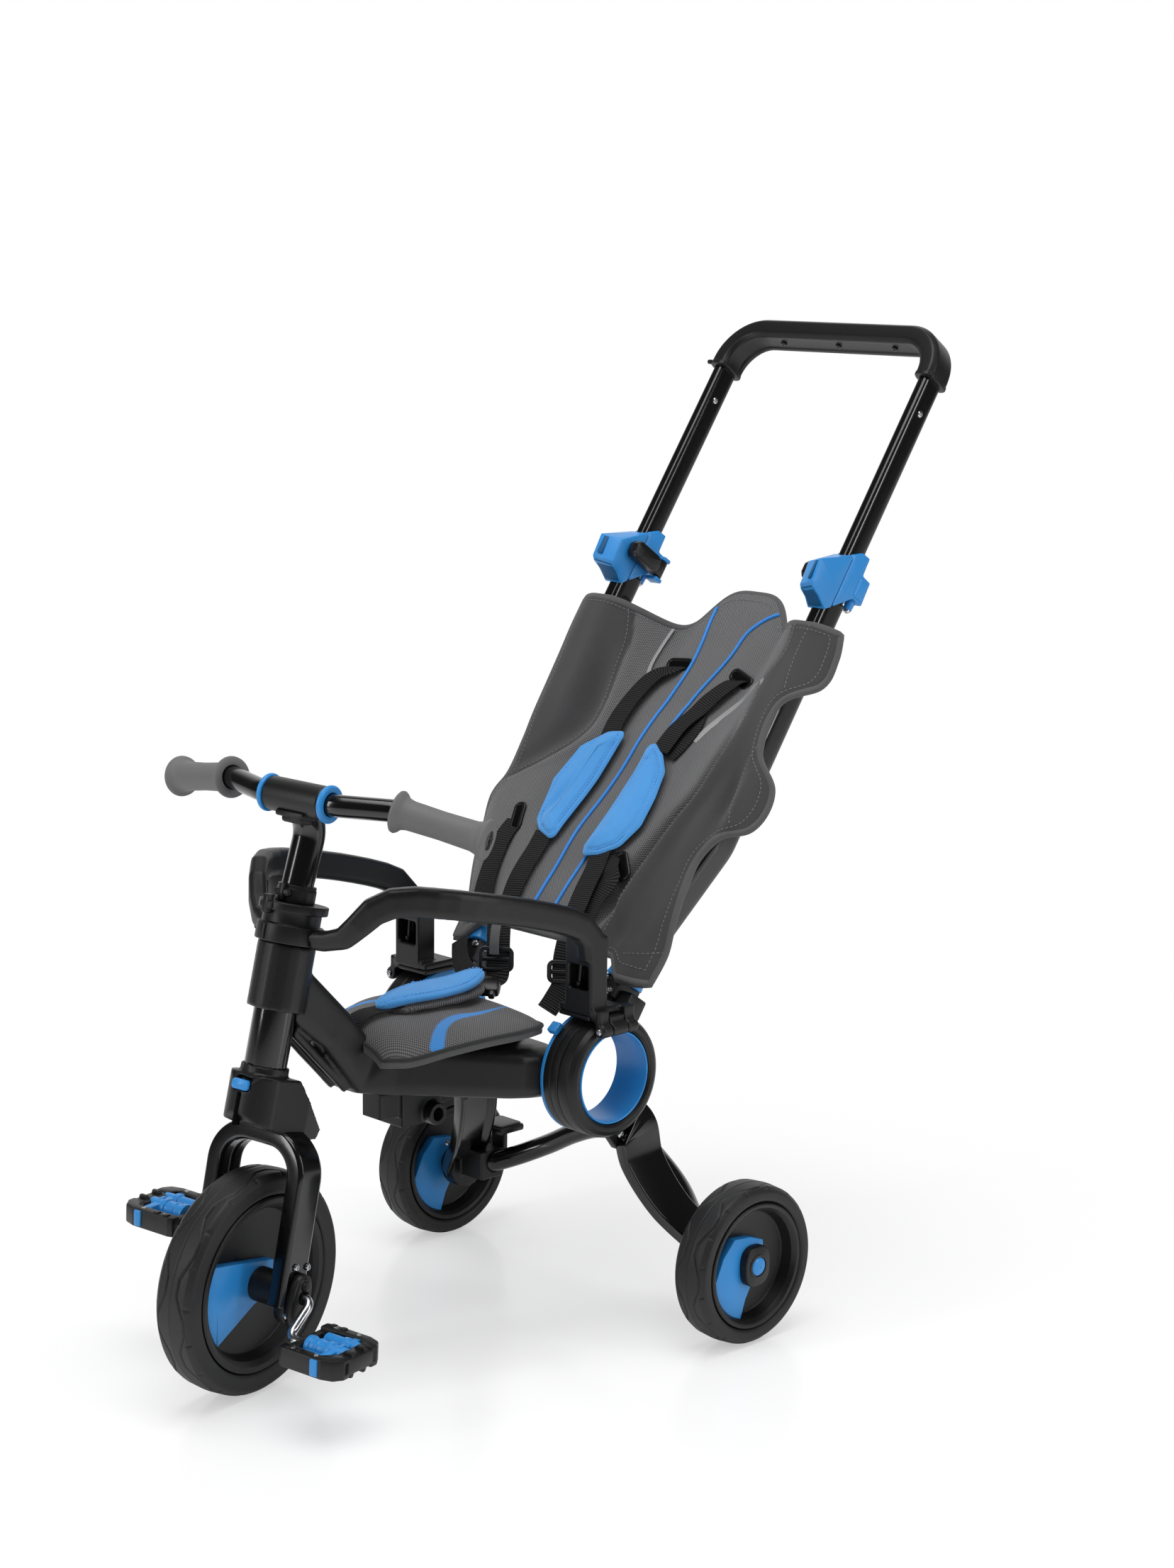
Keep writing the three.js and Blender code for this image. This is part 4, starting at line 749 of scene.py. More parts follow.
# Tape of tiny glass beads: flat grey unless it is lit from the eye
reflective = finish("grey retroreflective tape", "#8d8d8e", 0.45, 0.8, 0.15, specular=0.6)
# Sewing threads and the cord inside the piping: dull, fine fibres
thread_grey = finish("grey polyester sewing thread", "#6f6f70", 0.7, 0.6, 0.2, specular=0.3)
thread_blue = finish("blue polyester sewing thread", "#63a6e6", 0.7, 0.6, 0.2, specular=0.3)
piping_blue = finish("blue piping cord", "#2f7fd0", 0.55, 0.8, 0.2, specular=0.35)
# Each slot of the record, with its main finish first and then the finer ones that belong to it
SLOT_FINISHES = {
    "gloss_steel": [black_steel],
    "silver_steel": [zinc],
    "blue_plastic": [blue_plastic, collar_painted_shade],
    "black_plastic": [black_plastic, nylon, hollow_painted_shade, webbing],
    "tyre_rubber": [tyre_foam],
    "grip_rubber": [grey_rubber],
    "grey_fabric": [
        seat_cloth, cushion_cloth, dark_binding, binding_cloth, reflective, thread_grey
    ],
    "blue_fabric": [blue_cloth, piping_blue, thread_blue],
}

# %% [markdown]
# The tyres are foam rings. Their tread is only a few shallow grooves that zigzag along each
# shoulder, and a moulding seam in the middle, so it is worked into the radius itself.

# %% Wheels
# Shares of the wheel's radius or width: the rim's seat, its lip, and the half thickness of its web
SEAT_SHARE, LIP_SHARE, WEB_SHARE, RIM_GAP = 0.79, 0.06, 0.09, 0.3
GROOVE_DEPTH, SHOULDER = 1.3, 6


def tyre(radius, width, blocks):
    """Tyre: the profile's radius less a groove, which is a bell curve of the distance to a zigzag
    line."""
    half, inner = width / 2, radius * SEAT_SHARE
    right = [[0.75 * half, radius - 1.4], [half, radius - SHOULDER], [half, inner]]
    corners = [[-x, r] for x, r in right[::-1]] + [[0, radius]] + right
    line = soft_loop(corners, 5, 4, 130)
    angle = np.linspace(0, 2 * math.pi, 420, endpoint=False)
    x, r = line[:, :1], line[:, 1:]
    wave = 2 * np.abs((angle * blocks / (2 * math.pi)) % 1 * 2 - 1) - 1
    wave = np.clip(wave * 1.7, -1, 1)
    seam = 0.5 * np.exp(-(x**2) / 0.3)
    groove = np.exp(-((np.abs(x) - half * (0.52 + 0.2 * wave)) ** 2) / 0.7) + seam
    on_shoulder = (np.abs(x) > half * 0.72) * (np.abs(x) < half * 0.92)
    notch = np.exp(-((((angle * blocks / math.pi) % 1) - 0.5) ** 2) / 0.0009) * on_shoulder
    r = r - GROOVE_DEPTH * np.maximum(groove, notch) * (r > radius - SHOULDER + 0.5)
    return surface(
        np.stack([x + 0 * angle, r * np.cos(angle), r * np.sin(angle)], -1), closed_rows=True,
        closed_columns=True
    )


def rim(radius, width, hub, bore, hub_half):
    """Dished rim: one closed profile with a broad lip, a sunk web and a hub, turned about the
    axle."""
    half, outer, web = width / 2 - 0.6, radius * SEAT_SHARE - RIM_GAP, width * WEB_SHARE
    lip = radius * LIP_SHARE
    edge = [[half - 0.8, outer], [half, outer - 2], [half - 0.6, outer - lip]]
    dish = [[half - 5, outer - lip * 1.7], [web, outer - lip * 2.3], [web, hub]]
    side = edge + dish + [[hub_half, hub], [hub_half, bore]]
    return turned(side + [[-x, r] for x, r in side[::-1]], 128, X, 1.6)


def wedge(corners, arc, reach, face, back):
    """A wedge in the dish: straight edges by its corners, and an arc of the dish's radius between
    two angles."""
    angle = np.radians(np.linspace(*arc, 24))
    outline = np.concatenate(
        [np.asarray(corners, float) * reach, reach * np.stack([np.cos(angle), np.sin(angle)], 1)]
    )
    return plate(outline, back, face, X, 0.8, centre=outline.mean(0))


def wheel(name, radius, width, hub, bore, hub_half, place, body, corners, arc, blocks):
    """A whole wheel: tyre, rim, and a wedge on each face."""
    piece(name + "_tyre_foam", tyre(radius, width, blocks), place, tyre_foam, body, name + "_tyre")
    piece(
        name + "_rim_moulding", rim(radius, width, hub, bore, hub_half), place, black_plastic, body,
        name + "_rim"
    )
    reach, web = radius * SEAT_SHARE - RIM_GAP - radius * LIP_SHARE * 1.75, width * WEB_SHARE
    made = wedge(corners, arc, reach, width / 2 - 8, web - 1)
    piece(name + "_wedge", merged(made, mirrored(made)), place, blue_plastic, body)


FRONT_WEDGE = [[-0.62, -0.80], [-0.02, -0.27], [0.12, -0.2], [0.25, 0.0], [0.2, 0.30]]
REAR_WEDGE = [
    [-0.27, -0.96], [-0.15, -0.62], [0.0, -0.38], [0.2, -0.15], [0.3, 0.15], [0.28, 0.4],
    [-0.05, 0.52], [-0.46, 0.56], [-0.74, 0.28]
]
wheel("front", FRONT_RADIUS, 44, 17, 4.8, 44, AXLE, "front_wheel", FRONT_WEDGE, (166, 232), 9)
for name, side in SIDES:
    place = (np.eye(3), np.array([side * REAR_X, HINGE_Y + REAR_Y, REAR_RADIUS]))
    wheel(
        name + "_rear", REAR_RADIUS, 42, 15, 6.3, 20, place, name + "_rear_wheel", REAR_WEDGE,
        (192, 250), 8
    )
    # The hub's boss is an oval with a round window for the button
    boss = plate(oval_section(18, 21, 0.75, 40), 3, 22, X, 2.5)
    piece(name + "_hub_boss", mirrored(boss, side), place, black_plastic, name + "_rear_wheel")
    dome = [[19, 0], [19, 9.5], [22.3, 9.5], [23.6, 7], [24.2, 3.5], [24.4, 0]]
    piece(
        name + "_button_dome", mirrored(turned(dome, 48, X, 1.5), side), place, blue_plastic,
        name + "_hub_button", name + "_hub_button"
    )
    ring = turned([[21.8, 10], [21.8, 12.4], [22.8, 12.4], [22.8, 10]], 48, X, 0.3)
    piece(name + "_hub_ring", mirrored(ring, side), place, nylon, name + "_rear_wheel")
print("wheels made")

# %% [markdown]
# The fork is one flattened steel tube bent over the wheel. The crank is a bent bright rod that
# passes through the hub, and each pedal is a toothed frame that clips round two blue barrels.

# %% Fork and crank
STEER_BODY = "steering"
BLADE_X, CRANK_Y, CRANK_Z = 50, -27, -34
foot_at = [TRAIL - 2, AXLE_Z - 12]
fork_path = bent(
    [[-BLADE_X, *foot_at], [-BLADE_X, 24, -64], [BLADE_X, 24, -64], [BLADE_X, *foot_at]], 36, 16,
    160
)
# The blade is a flattened tube with a shallow groove down the face towards the wheel
blade = rounded(
    [
        [-17, -7.5], [-13, -9.5], [13, -9.5], [17, -7.5], [17, 7.5], [13, 9.5], [3, 9.5], [0, 8.1],
        [-3, 9.5], [-13, 9.5], [-17, 7.5]
    ],
    3, 4
)
piece(
    "fork_tube", carried(fork_path, blade, (0, 1, 0)), STEERING, black_steel, STEER_BODY, "fork",
    smooth=60
)
crank_path = []
for side in (-1, 1):
    throw = [CRANK_Y * side, CRANK_Z * side]
    half = [[side * 158, *throw], [side * 80, *throw], [side * 80, 0, 0]]
    crank_path += half if side < 0 else half[::-1]
crank_path = bent(crank_path, 10, 10, 200)
piece(
    "crank_rod", tube(crank_path, 4.6, 4.6, (0, CRANK_Z, -CRANK_Y), sides=24), AXLE, zinc, "crank",
    "crank", smooth=60
)
for name, side in SIDES:
    centre = [TRAIL, AXLE_Z - 4.6]
    cap = shifted(plate(oval_section(14, 26.5, 0.8, 48), 59.3, 68, X, 2.6), [0, *centre])
    lid = shifted(plate(oval_section(10.6, 23, 0.8, 48), 67, 69.4, X, 0.8), [0, *centre])
    foot = shifted(
        plate(oval_section(15, 21, 0.8, 48), 46, 60, X, 2.5), [0, centre[0], centre[1] - 3]
    )
    knob = shifted(
        turned([[68, 0], [68, 5], [72, 4.6], [73.4, 3], [73.8, 0]], 32, X, 1),
        [0, TRAIL - 1, AXLE_Z + 11]
    )
    piece(
        name + "_cap_plate", mirrored(merged(cap, lid, foot, knob), side), STEERING, black_plastic,
        STEER_BODY, name + "_axle_cap"
    )
    # Painted shade: the slot in the lid and the ring round the axle hole are near-black plates for
    # the shade inside them
    slot = shifted(block([68.6, -2, -1], [69.8, 2, 14], 0.7), [0, *centre])
    hole = shifted(turned(bar(68.6, 69.8, 7.2, 4.9), 40, X, 0.2), [0, TRAIL, AXLE_Z])
    piece(
        name + "_cap_slot_shade", mirrored(merged(slot, hole), side), STEERING, hollow_painted_shade, STEER_BODY
    )
    bolts = [
        screw([60.2, TRAIL + y, AXLE_Z + z], [1, 0, 0], 3.6)
        for y, z in ((-8, 27), (9, 27), (-10, -19))
    ]
    piece(name + "_fork_screws", mirrored(merged(*bolts), side), STEERING, zinc, STEER_BODY)

# %% Pedals


def pedal_frame():
    """Black frame: two rails that draw in at the outer end, an inner bar, an outer block, teeth and
    grip pips."""
    rail = [
        [98, 24], [98, 35], [104, 37], [150, 37], [162, 33], [168, 24], [168, 15], [152, 15],
        [150, 26]
    ]
    shapes = []
    for side in (1, -1):
        outline = [[x, y * side] for x, y in rail]
        shapes.append(plate(outline, -10, 10, Z, 2.2, 2.5, centre=[140, 31 * side]))
    shapes.append(block([98, -30, -7], [108, 30, 7], 2.5))
    shapes.append(block([150, -26, -8], [168, 26, 9], 3))
    tooth = [[150, 6], [167, 6], [165, 12.5], [157, 12.5]]
    for y in (-9, 9):
        for way in (1, -1):
            shapes.append(plate([[x, z * way] for x, z in tooth], y - 2, y + 2, Y, 0.8, 1))
    for x in (106, 118):
        shapes += [block([x, y, 9], [x + 6, y + 6, 11.4], 1) for y in (29, -35)]
    return merged(*shapes)


def pedal_barrels():
    """Two blue barrels along X with collars, fins between them, and a strap over the rails."""
    inner = [
        [109, 0], [109, 10.4], [114, 10.4], [115, 9], [120, 9], [121, 9.8], [123, 9.8], [124, 9]
    ]
    outer = [[132, 9], [133, 10.4], [138, 10.4], [139, 8.6], [154, 8.6], [154, 0]]
    one = shifted(turned(inner + outer, 48, X, 0.7), [0, -3, 2])
    slim = [
        [114, 0], [114, 7.4], [134, 7.4], [135, 8.6], [141, 8.6], [142, 7.2], [154, 7.2], [154, 0]
    ]
    two = shifted(turned(slim, 40, X, 0.6), [0, 16.5, 2.5])
    fins = [
        block([130, -24, -2], [152, 26, 3], 1.2), block([143, -5, 4], [147, 5, 11], 1),
        block([112, -20, -3], [150, -12, 3], 1.2)
    ]
    strap = block([138, -38.6, -8], [147, 38.6, 8.5], 1.4)
    return merged(one, two, strap, *fins)


for name, side in SIDES:
    place = within(AXLE, turn_x(LEAN), [0, CRANK_Y * side, CRANK_Z * side])
    body = name + "_pedal"
    piece(body + "_frame", mirrored(pedal_frame(), side), place, black_plastic, body, body)
    piece(body + "_barrels", mirrored(pedal_barrels(), side), place, blue_plastic, body)
    ribs = [[98, 6.5], [98.5, 5.6], [100, 5.6], [100.5, 6.8], [102.5, 6.8], [103, 5.8], [105, 5.8]]
    ribs = turned([[96, 4.8], [96, 6.5], *ribs, [105.5, 7.2], [110, 7.2], [110, 4.8]], 40, X, 0.3)
    piece(body + "_bush", mirrored(ribs, side), place, nylon, body)
    bolts = [
        screw([x, y, 9.2], [0, 0, 1], 2.6)
        for x, y in ((140, 31), (140, -31), (112, 31), (112, -31))
    ]
    piece(body + "_screws", mirrored(merged(*bolts), side), place, zinc, body)
print("fork, crank and pedals made")

# %% [markdown]
# The crown, beam and arms are large plastic mouldings whose edges are soft. The solids already
# have their form, so a softened copy of each gives them moulded edges.

# %% Large mouldings
moulded("beam_moulding", "main_beam", "frame", 2.0, 5)
moulded("crown_moulding", "fork_crown", STEER_BODY, 1.5, 5)
moulded("footrest_moulding", "footrest_block", "frame", 1.2, 3)
for name, side in SIDES:
    moulded(name + "_arm_moulding", name + "_safety_arm", name + "_safety_arm", 1.6, 4)
    moulded(name + "_arm_hinge", name + "_arm_base", "frame", 1.2, 3)
    moulded(name + "_bracket_moulding", name + "_axle_bracket", "rear_frame", 1.4, 3)

# The far arm's front end is a closed web under the swoop
web_route = [
    [-132, -188, 182], [-124, -210, 181], [-110, -235, 180], [-96, -249, 178], [-82, -260, 176]
]
web_path = routed(web_route, 60, 60)
web_section = rounded(oblong(27, 7), 5, 4)
piece(
    "far_arm_web", carried(web_path, web_section, (0, 0, 1), 3), HINGE, black_plastic,
    "right_safety_arm", smooth=60
)

# %% Column
TUBE_BORE = 16.3
flange = [
    [120.3, 21], [120.3, 31.9], [138, 31.9], [138, 28], [150, 28], [150, 33.3], [158.5, 33.3],
    [158.5, TUBE_BORE], [153, TUBE_BORE], [153, 21]
]
catch = merged(
    block([-4, -36.5, 146], [4, -28, 164], 1.5), block([-8, -36, 150], [8, -31, 158], 2),
    block([-3, -34, 121], [3, -30.5, 137], 1)
)
piece(
    "head_collar_ring", merged(turned(flange, 96, Z, 1.2), catch), COLUMN, black_plastic, "frame",
    "head_collar"
)
piece(
    "steering_tube_steel", turned(bar(-2, 149.7, 20.5, TUBE_BORE), 96, Z, 0.6), STEERING,
    black_steel, STEER_BODY, "steering_tube"
)
CLAMP_AT = [0, -20, 257]
stem_path = bent([[0, 0, 102], [0, 0, 177.5], [0, 5, 231], CLAMP_AT], 30, 14, 90)
# The stem stops short of the clamp's middle, inside its shell
stem_path = stem_path[: np.argmax(np.linalg.norm(stem_path - CLAMP_AT, axis=1) < 14.5)]
sleeve = turned(
    [[158.8, 15], [158.8, 19], [171, 19], [172.5, 18.4], [175.5, 18.4], [175.5, 15]], 64, Z, 0.8
)
lug = merged(
    block([-2.5, -23.5, 160], [2.5, -17, 176], 0.8), block([-9, -22.5, 164], [9, -16, 171], 2)
)
piece(
    "stem_tube", tube(stem_path, 15.5, 15.5, (1, 0, 0), sides=48), STEERING, black_steel,
    STEER_BODY, "stem", smooth=60
)
piece("stem_sleeve", merged(sleeve, lug), STEERING, black_plastic, STEER_BODY)
crown_seam = block([-1.2, -33.4, -56], [1.2, -24, -24], 0.5)
crown_catch = merged(
    block([-9, -35.5, -22], [9, -27, -12], 2.6), block([-6, -36, -19], [6, -30, -14], 1.8)
)
# Painted shade: crown_seam is a near-black strip that stands for the shade in the crown's seam
piece("crown_slot_shade", crown_seam, STEERING, hollow_painted_shade, STEER_BODY)
piece("crown_catch", crown_catch, STEERING, blue_plastic, "crown_button", "crown_button")

# %% Handlebar
GRIP_START, GRIP_END, BAR_BORE = [100.5, -1.6, 262.8], [190.8, 26.4, 251.9], 11.1
half_bar = [GRIP_END, GRIP_START, [45, -20, 257]]
bar_path = bent([[-x, y, z] for x, y, z in half_bar] + half_bar[::-1], 40, 14, 150)
piece(
    "bar_tube", tube(bar_path, 10.8, 10.8, (0, 0, 1), sides=40), STEERING, black_steel, STEER_BODY,
    "handlebar", smooth=60
)
clamp_line = [[-34, BAR_BORE], [-34, 15.5], [-32, 16.5], [32, 16.5], [34, 15.5], [34, BAR_BORE]]
clamp = shifted(turned(clamp_line, 96, X, 0.8), CLAMP_AT)
saddle = merged(block([-17, -32, 238], [17, -10, 244], 2), block([-13, -27, 233], [13, -4, 243], 3))
piece("clamp_shell", merged(clamp, saddle), STEERING, black_plastic, STEER_BODY, "handlebar_clamp")
start, reach = np.array(GRIP_START), np.array(GRIP_END) - GRIP_START
span, outwards = np.linalg.norm(reach), aimed(reach)
inner_flare = [
    [0, 11.2], [0, 18.8], [1.5, 20.3], [3.5, 20.5], [5.5, 19], [9, 15.6], [15, 14.2],
    [span / 2, 13.6]
]
outer_flare = [
    [span - 15, 14.4], [span - 9, 16], [span - 5.5, 19], [span - 3, 20.4], [span - 1, 19.8],
    [span, 17]
]
grip_line = inner_flare + outer_flare + [[span, 0], [span - 4, 0], [span - 4, 11.2]]
ring_line = [[34.3, BAR_BORE], [34.3, 17.6], [36, 18.3], [38, 18.3], [39.3, 16.5], [39.3, BAR_BORE]]
ring = shifted(turned(ring_line, 96, X, 1.3), CLAMP_AT)
for name, side in SIDES:
    piece(
        name + "_clamp_band", mirrored(ring, side), STEERING, blue_plastic, STEER_BODY,
        name + "_clamp_ring"
    )
    grip = shifted(turned(soft_loop(grip_line, 2.2, 3, 110), 72, Z), start, outwards)
    piece(
        name + "_grip_rubber", mirrored(grip, side), STEERING, grey_rubber, STEER_BODY,
        name + "_grip"
    )
    # Painted shade: a near-black disc at the grip's end stands for the shade in its hole
    hole = shifted(turned(bar(span - 0.4, span + 0.15, 1.6), 16, Z), start, outwards)
    piece(
        name + "_grip_hole_shade", mirrored(hole, side), STEERING, hollow_painted_shade, STEER_BODY,
    )
print("column and handlebar made")

# %% [markdown]
# The rear hinge is a stack of rings on a blue core: a band for the legs, a band for the back
# tubes and a fixed rim. They are turned, and the bands carry square lugs.

# %% Hinge rings
RING_BORE, RING_RADIUS, EDGE_BREAK = 47.8, 61.5, 0.7
LEG_TURN, LATCH_TURN = turn_x(math.radians(37)), turn_x(math.radians(40))


def band(start, end):
    """A turned band of the hinge, with its outer edges broken."""
    low_r, high_r = RING_RADIUS - EDGE_BREAK, RING_RADIUS
    left = [[start, RING_BORE], [start, low_r], [start + EDGE_BREAK, high_r]]
    return turned(left + [[end - EDGE_BREAK, high_r], [end, low_r], [end, RING_BORE]], 128, X, 0.4)


for name, side in SIDES:
    core = [
        [105, 45], [105, RING_RADIUS], [109, RING_RADIUS], [109, 47.5], [146, 47.5], [148, 46.6],
        [148, 45]
    ]
    clip = merged(
        block([120, -46, -7], [129, -40, 7], 1), block([121.5, -44, -9], [127.5, -38, -6], 1)
    )
    piece(
        name + "_core_moulding", mirrored(merged(turned(core, 128, X, 0.7), clip), side), HINGE,
        blue_plastic, "frame", name + "_hinge_core"
    )
    rimmed = [
        [129.5, 47.8], [129.5, 60.8], [131, 61.5], [143, 61.5], [148, 58.5], [150, 54.5],
        [149.6, 50.5], [147.5, 48], [145, 47.8]
    ]
    piece(
        name + "_rim_moulding", mirrored(turned(rimmed, 128, X, 1.2), side), HINGE, black_plastic,
        "frame", name + "_end_rim"
    )
    leg_lug = shifted(block([109.3, -26, -92], [119.2, 26, -54], 2), 0, LEG_TURN)
    piece(
        name + "_leg_ring", mirrored(merged(band(109.3, 119.2), leg_lug), side), HINGE,
        black_plastic, "rear_frame", name + "_leg_band"
    )
    neck = block([119.5, -8, 52], [129.2, 14, 66], 1.2)
    piece(
        name + "_back_ring", mirrored(merged(band(119.5, 129.2), neck), side), BACK, black_plastic,
        "backrest", name + "_back_band"
    )
    latch = merged(
        block([100, -6, 61.8], [112, 6, 68.8], 1.6), block([103, -4, 55], [108, 4, 66], 1)
    )
    latch = shifted(latch, 0, LATCH_TURN)
    piece(
        name + "_latch_tab", mirrored(latch, side), HINGE, blue_plastic, name + "_fold_latch",
        name + "_fold_latch"
    )
    # Pins and screws of the arm's hinge, and the two thin rods inside its post
    pins = [screw([157.3, y, 54], [0, way, 0], 3.4) for y, way in ((-31.8, -1), (17.6, 1))]
    pins += [screw([150.5, y, 71], [0, 0, 1], 2.8) for y in (-24, 12)]
    piece(name + "_arm_screws", mirrored(merged(*pins), side), HINGE, zinc, name + "_safety_arm")
    ends = [[[118, -22, 80], [124, -21, 150]], [[139, -22, 80], [133, -21, 150]]]
    rods = [tube(evenly(line, 12), 2.4, 2.4, (1, 0, 0), sides=16) for line in ends]
    collars = [
        shifted(turned(bar(92, 97, 4, 2.4), 20, Z, 0.4), [x, -22, 0]) for x in (118.8, 138.2)
    ]
    piece(
        name + "_post_rods", mirrored(merged(*rods, *collars), side), HINGE, nylon,
        name + "_safety_arm"
    )

# %% Rear legs, arch tube and brake
arch_half = [
    [34, 49.3, 69.6], [64, 45.3, 57.6], [100, 39.3, 37.6], [135, 22.3, 19.6], [155, 8.3, 11.6],
    [168, 5.3, 9.6]
]
arch_path = [[-x, y, z] for x, y, z in arch_half[::-1]] + [[0, 50.3, 73.6]] + arch_half
arch_path = routed(np.array(arch_path) + [0, REAR_Y, REAR_RADIUS], 200, 160)
piece(
    "arch_steel", tube(arch_path, 11, 11, (0, 0, 1), sides=40), GROUND, black_steel, "rear_frame",
    "rear_arch_tube", smooth=60
)
leg_shares = np.array(
    [
        [0, 0.44, 0.307], [0.028, 0.534, 0.368], [0.073, 0.59, 0.527], [0.294, 0.731, 0.757],
        [0.606, 0.909, 0.936], [0.697, 0.975, 0.992]
    ]
)
AXLE_DOWN, LEG_X = REAR_RADIUS - HINGE_UP, 118
leg_reach = [REAR_X - LEG_X, REAR_Y, AXLE_DOWN]
leg_route = [LEG_X, 0, 0] + leg_shares * leg_reach
leg_section = rounded(
    [[-27, -7], [27, -7], [27, 7], [21, 7], [17, 0.5], [-17, 0.5], [-21, 7], [-27, 7]], 2.2, 4
)
for name, side in SIDES:
    leg_path = routed(leg_route, 160, 90)
    leg_path = leg_path[leg_path[:, 2] < -64]
    leg = carried(
        leg_path, leg_section, (0, 1, 0), 1.2, 1 - 0.17 * np.linspace(0, 1, len(leg_path))
    )
    piece(
        name + "_leg_pressing", mirrored(leg, side), HINGE, black_steel, "rear_frame",
        name + "_rear_leg", smooth=50
    )
    bolts = [shifted(screw([120.5, y, -80], [1, 0, 0], 4.2), 0, LEG_TURN) for y in (-14, 14)]
    bolts.append(screw([205.2, REAR_Y - 14, AXLE_DOWN + 26], [0.7, -0.5, 0.5], 3.6))
    piece(name + "_leg_screws", mirrored(merged(*bolts), side), HINGE, zinc, "rear_frame")
BRAKE_Y, BRAKE_Z = 133.5, 96
tread = merged(
    block([134, 107, 129.1], [172, 143, 137.1], 2.6), block([156, 131, 96], [174, 138.5, 133], 1.5)
)
lip = plate(rounded([[136, 109], [170, 109], [170, 141], [136, 141]], 4, 4), 136.4, 138.6, Z, 0.8)
well = block([139, 112, 137.5], [167, 138, 138.9], 0.6)
barrel = shifted(turned(bar(156, 174, 5), 40, X, 0.6), [0, BRAKE_Y, BRAKE_Z])
piece(
    "brake_lever", mirrored(merged(tread, lip, barrel)), GROUND, black_plastic, "foot_brake",
    "brake_pedal"
)
piece("brake_well", mirrored(well), GROUND, grey_rubber, "foot_brake")
bolts = [screw([x, BRAKE_Y, BRAKE_Z], [way, 0, 0], 3.6) for x, way in ((178.8, 1), (151.4, -1))]
piece("brake_screws", mirrored(merged(*bolts)), GROUND, zinc, "rear_frame")
print("rear frame made")

# %% [markdown]
# The back tubes are deep steel ovals that stand in blue sockets. Blue clamp collars with black
# cam levers hold the push handle, whose moulded grip wraps the whole top of the loop.

# %% Back tubes, collars and handle
# The tubes stand FOOT_X off the middle, splay from BEND_LOW to BEND_HIGH, and run on TUBE_X off it
FOOT_X, TUBE_X, BEND_LOW, BEND_HIGH = 104, 147.5, 104, 258
TUBE_HALF, COLLAR_INNER, COLLAR_OUTER = 9.2, 135.5, 160.5
back_path = bent(
    [[FOOT_X, 0, 66], [FOOT_X, 0, BEND_LOW], [TUBE_X, 0, BEND_HIGH], [TUBE_X, 0, 548]], 60, 14, 160
)
COLLAR_FRONT = [
    [-52.7, 567.7], [-50.5, 541.4], [-46, 537.4], [-32.5, 534.4], [-16.7, 527.7], [-9.3, 534],
    [-9.3, 596.2]
]
COLLAR_REAR = [
    [-8.7, 534.6], [15.5, 558.6], [32, 558], [30.5, 585.5], [16, 586], [15, 606], [3, 605.5],
    [-8.7, 596.8]
]


def drawn_back(shape):
    """The front of a collar shell drawn back towards the inner face: 0.4 mm for each millimetre
    inwards."""
    p = shape[0].copy()
    p[:, 1] += 0.4 * (COLLAR_OUTER - p[:, 0]) * np.clip((-12 - p[:, 1]) / 30, 0, 1)
    return p, shape[1]


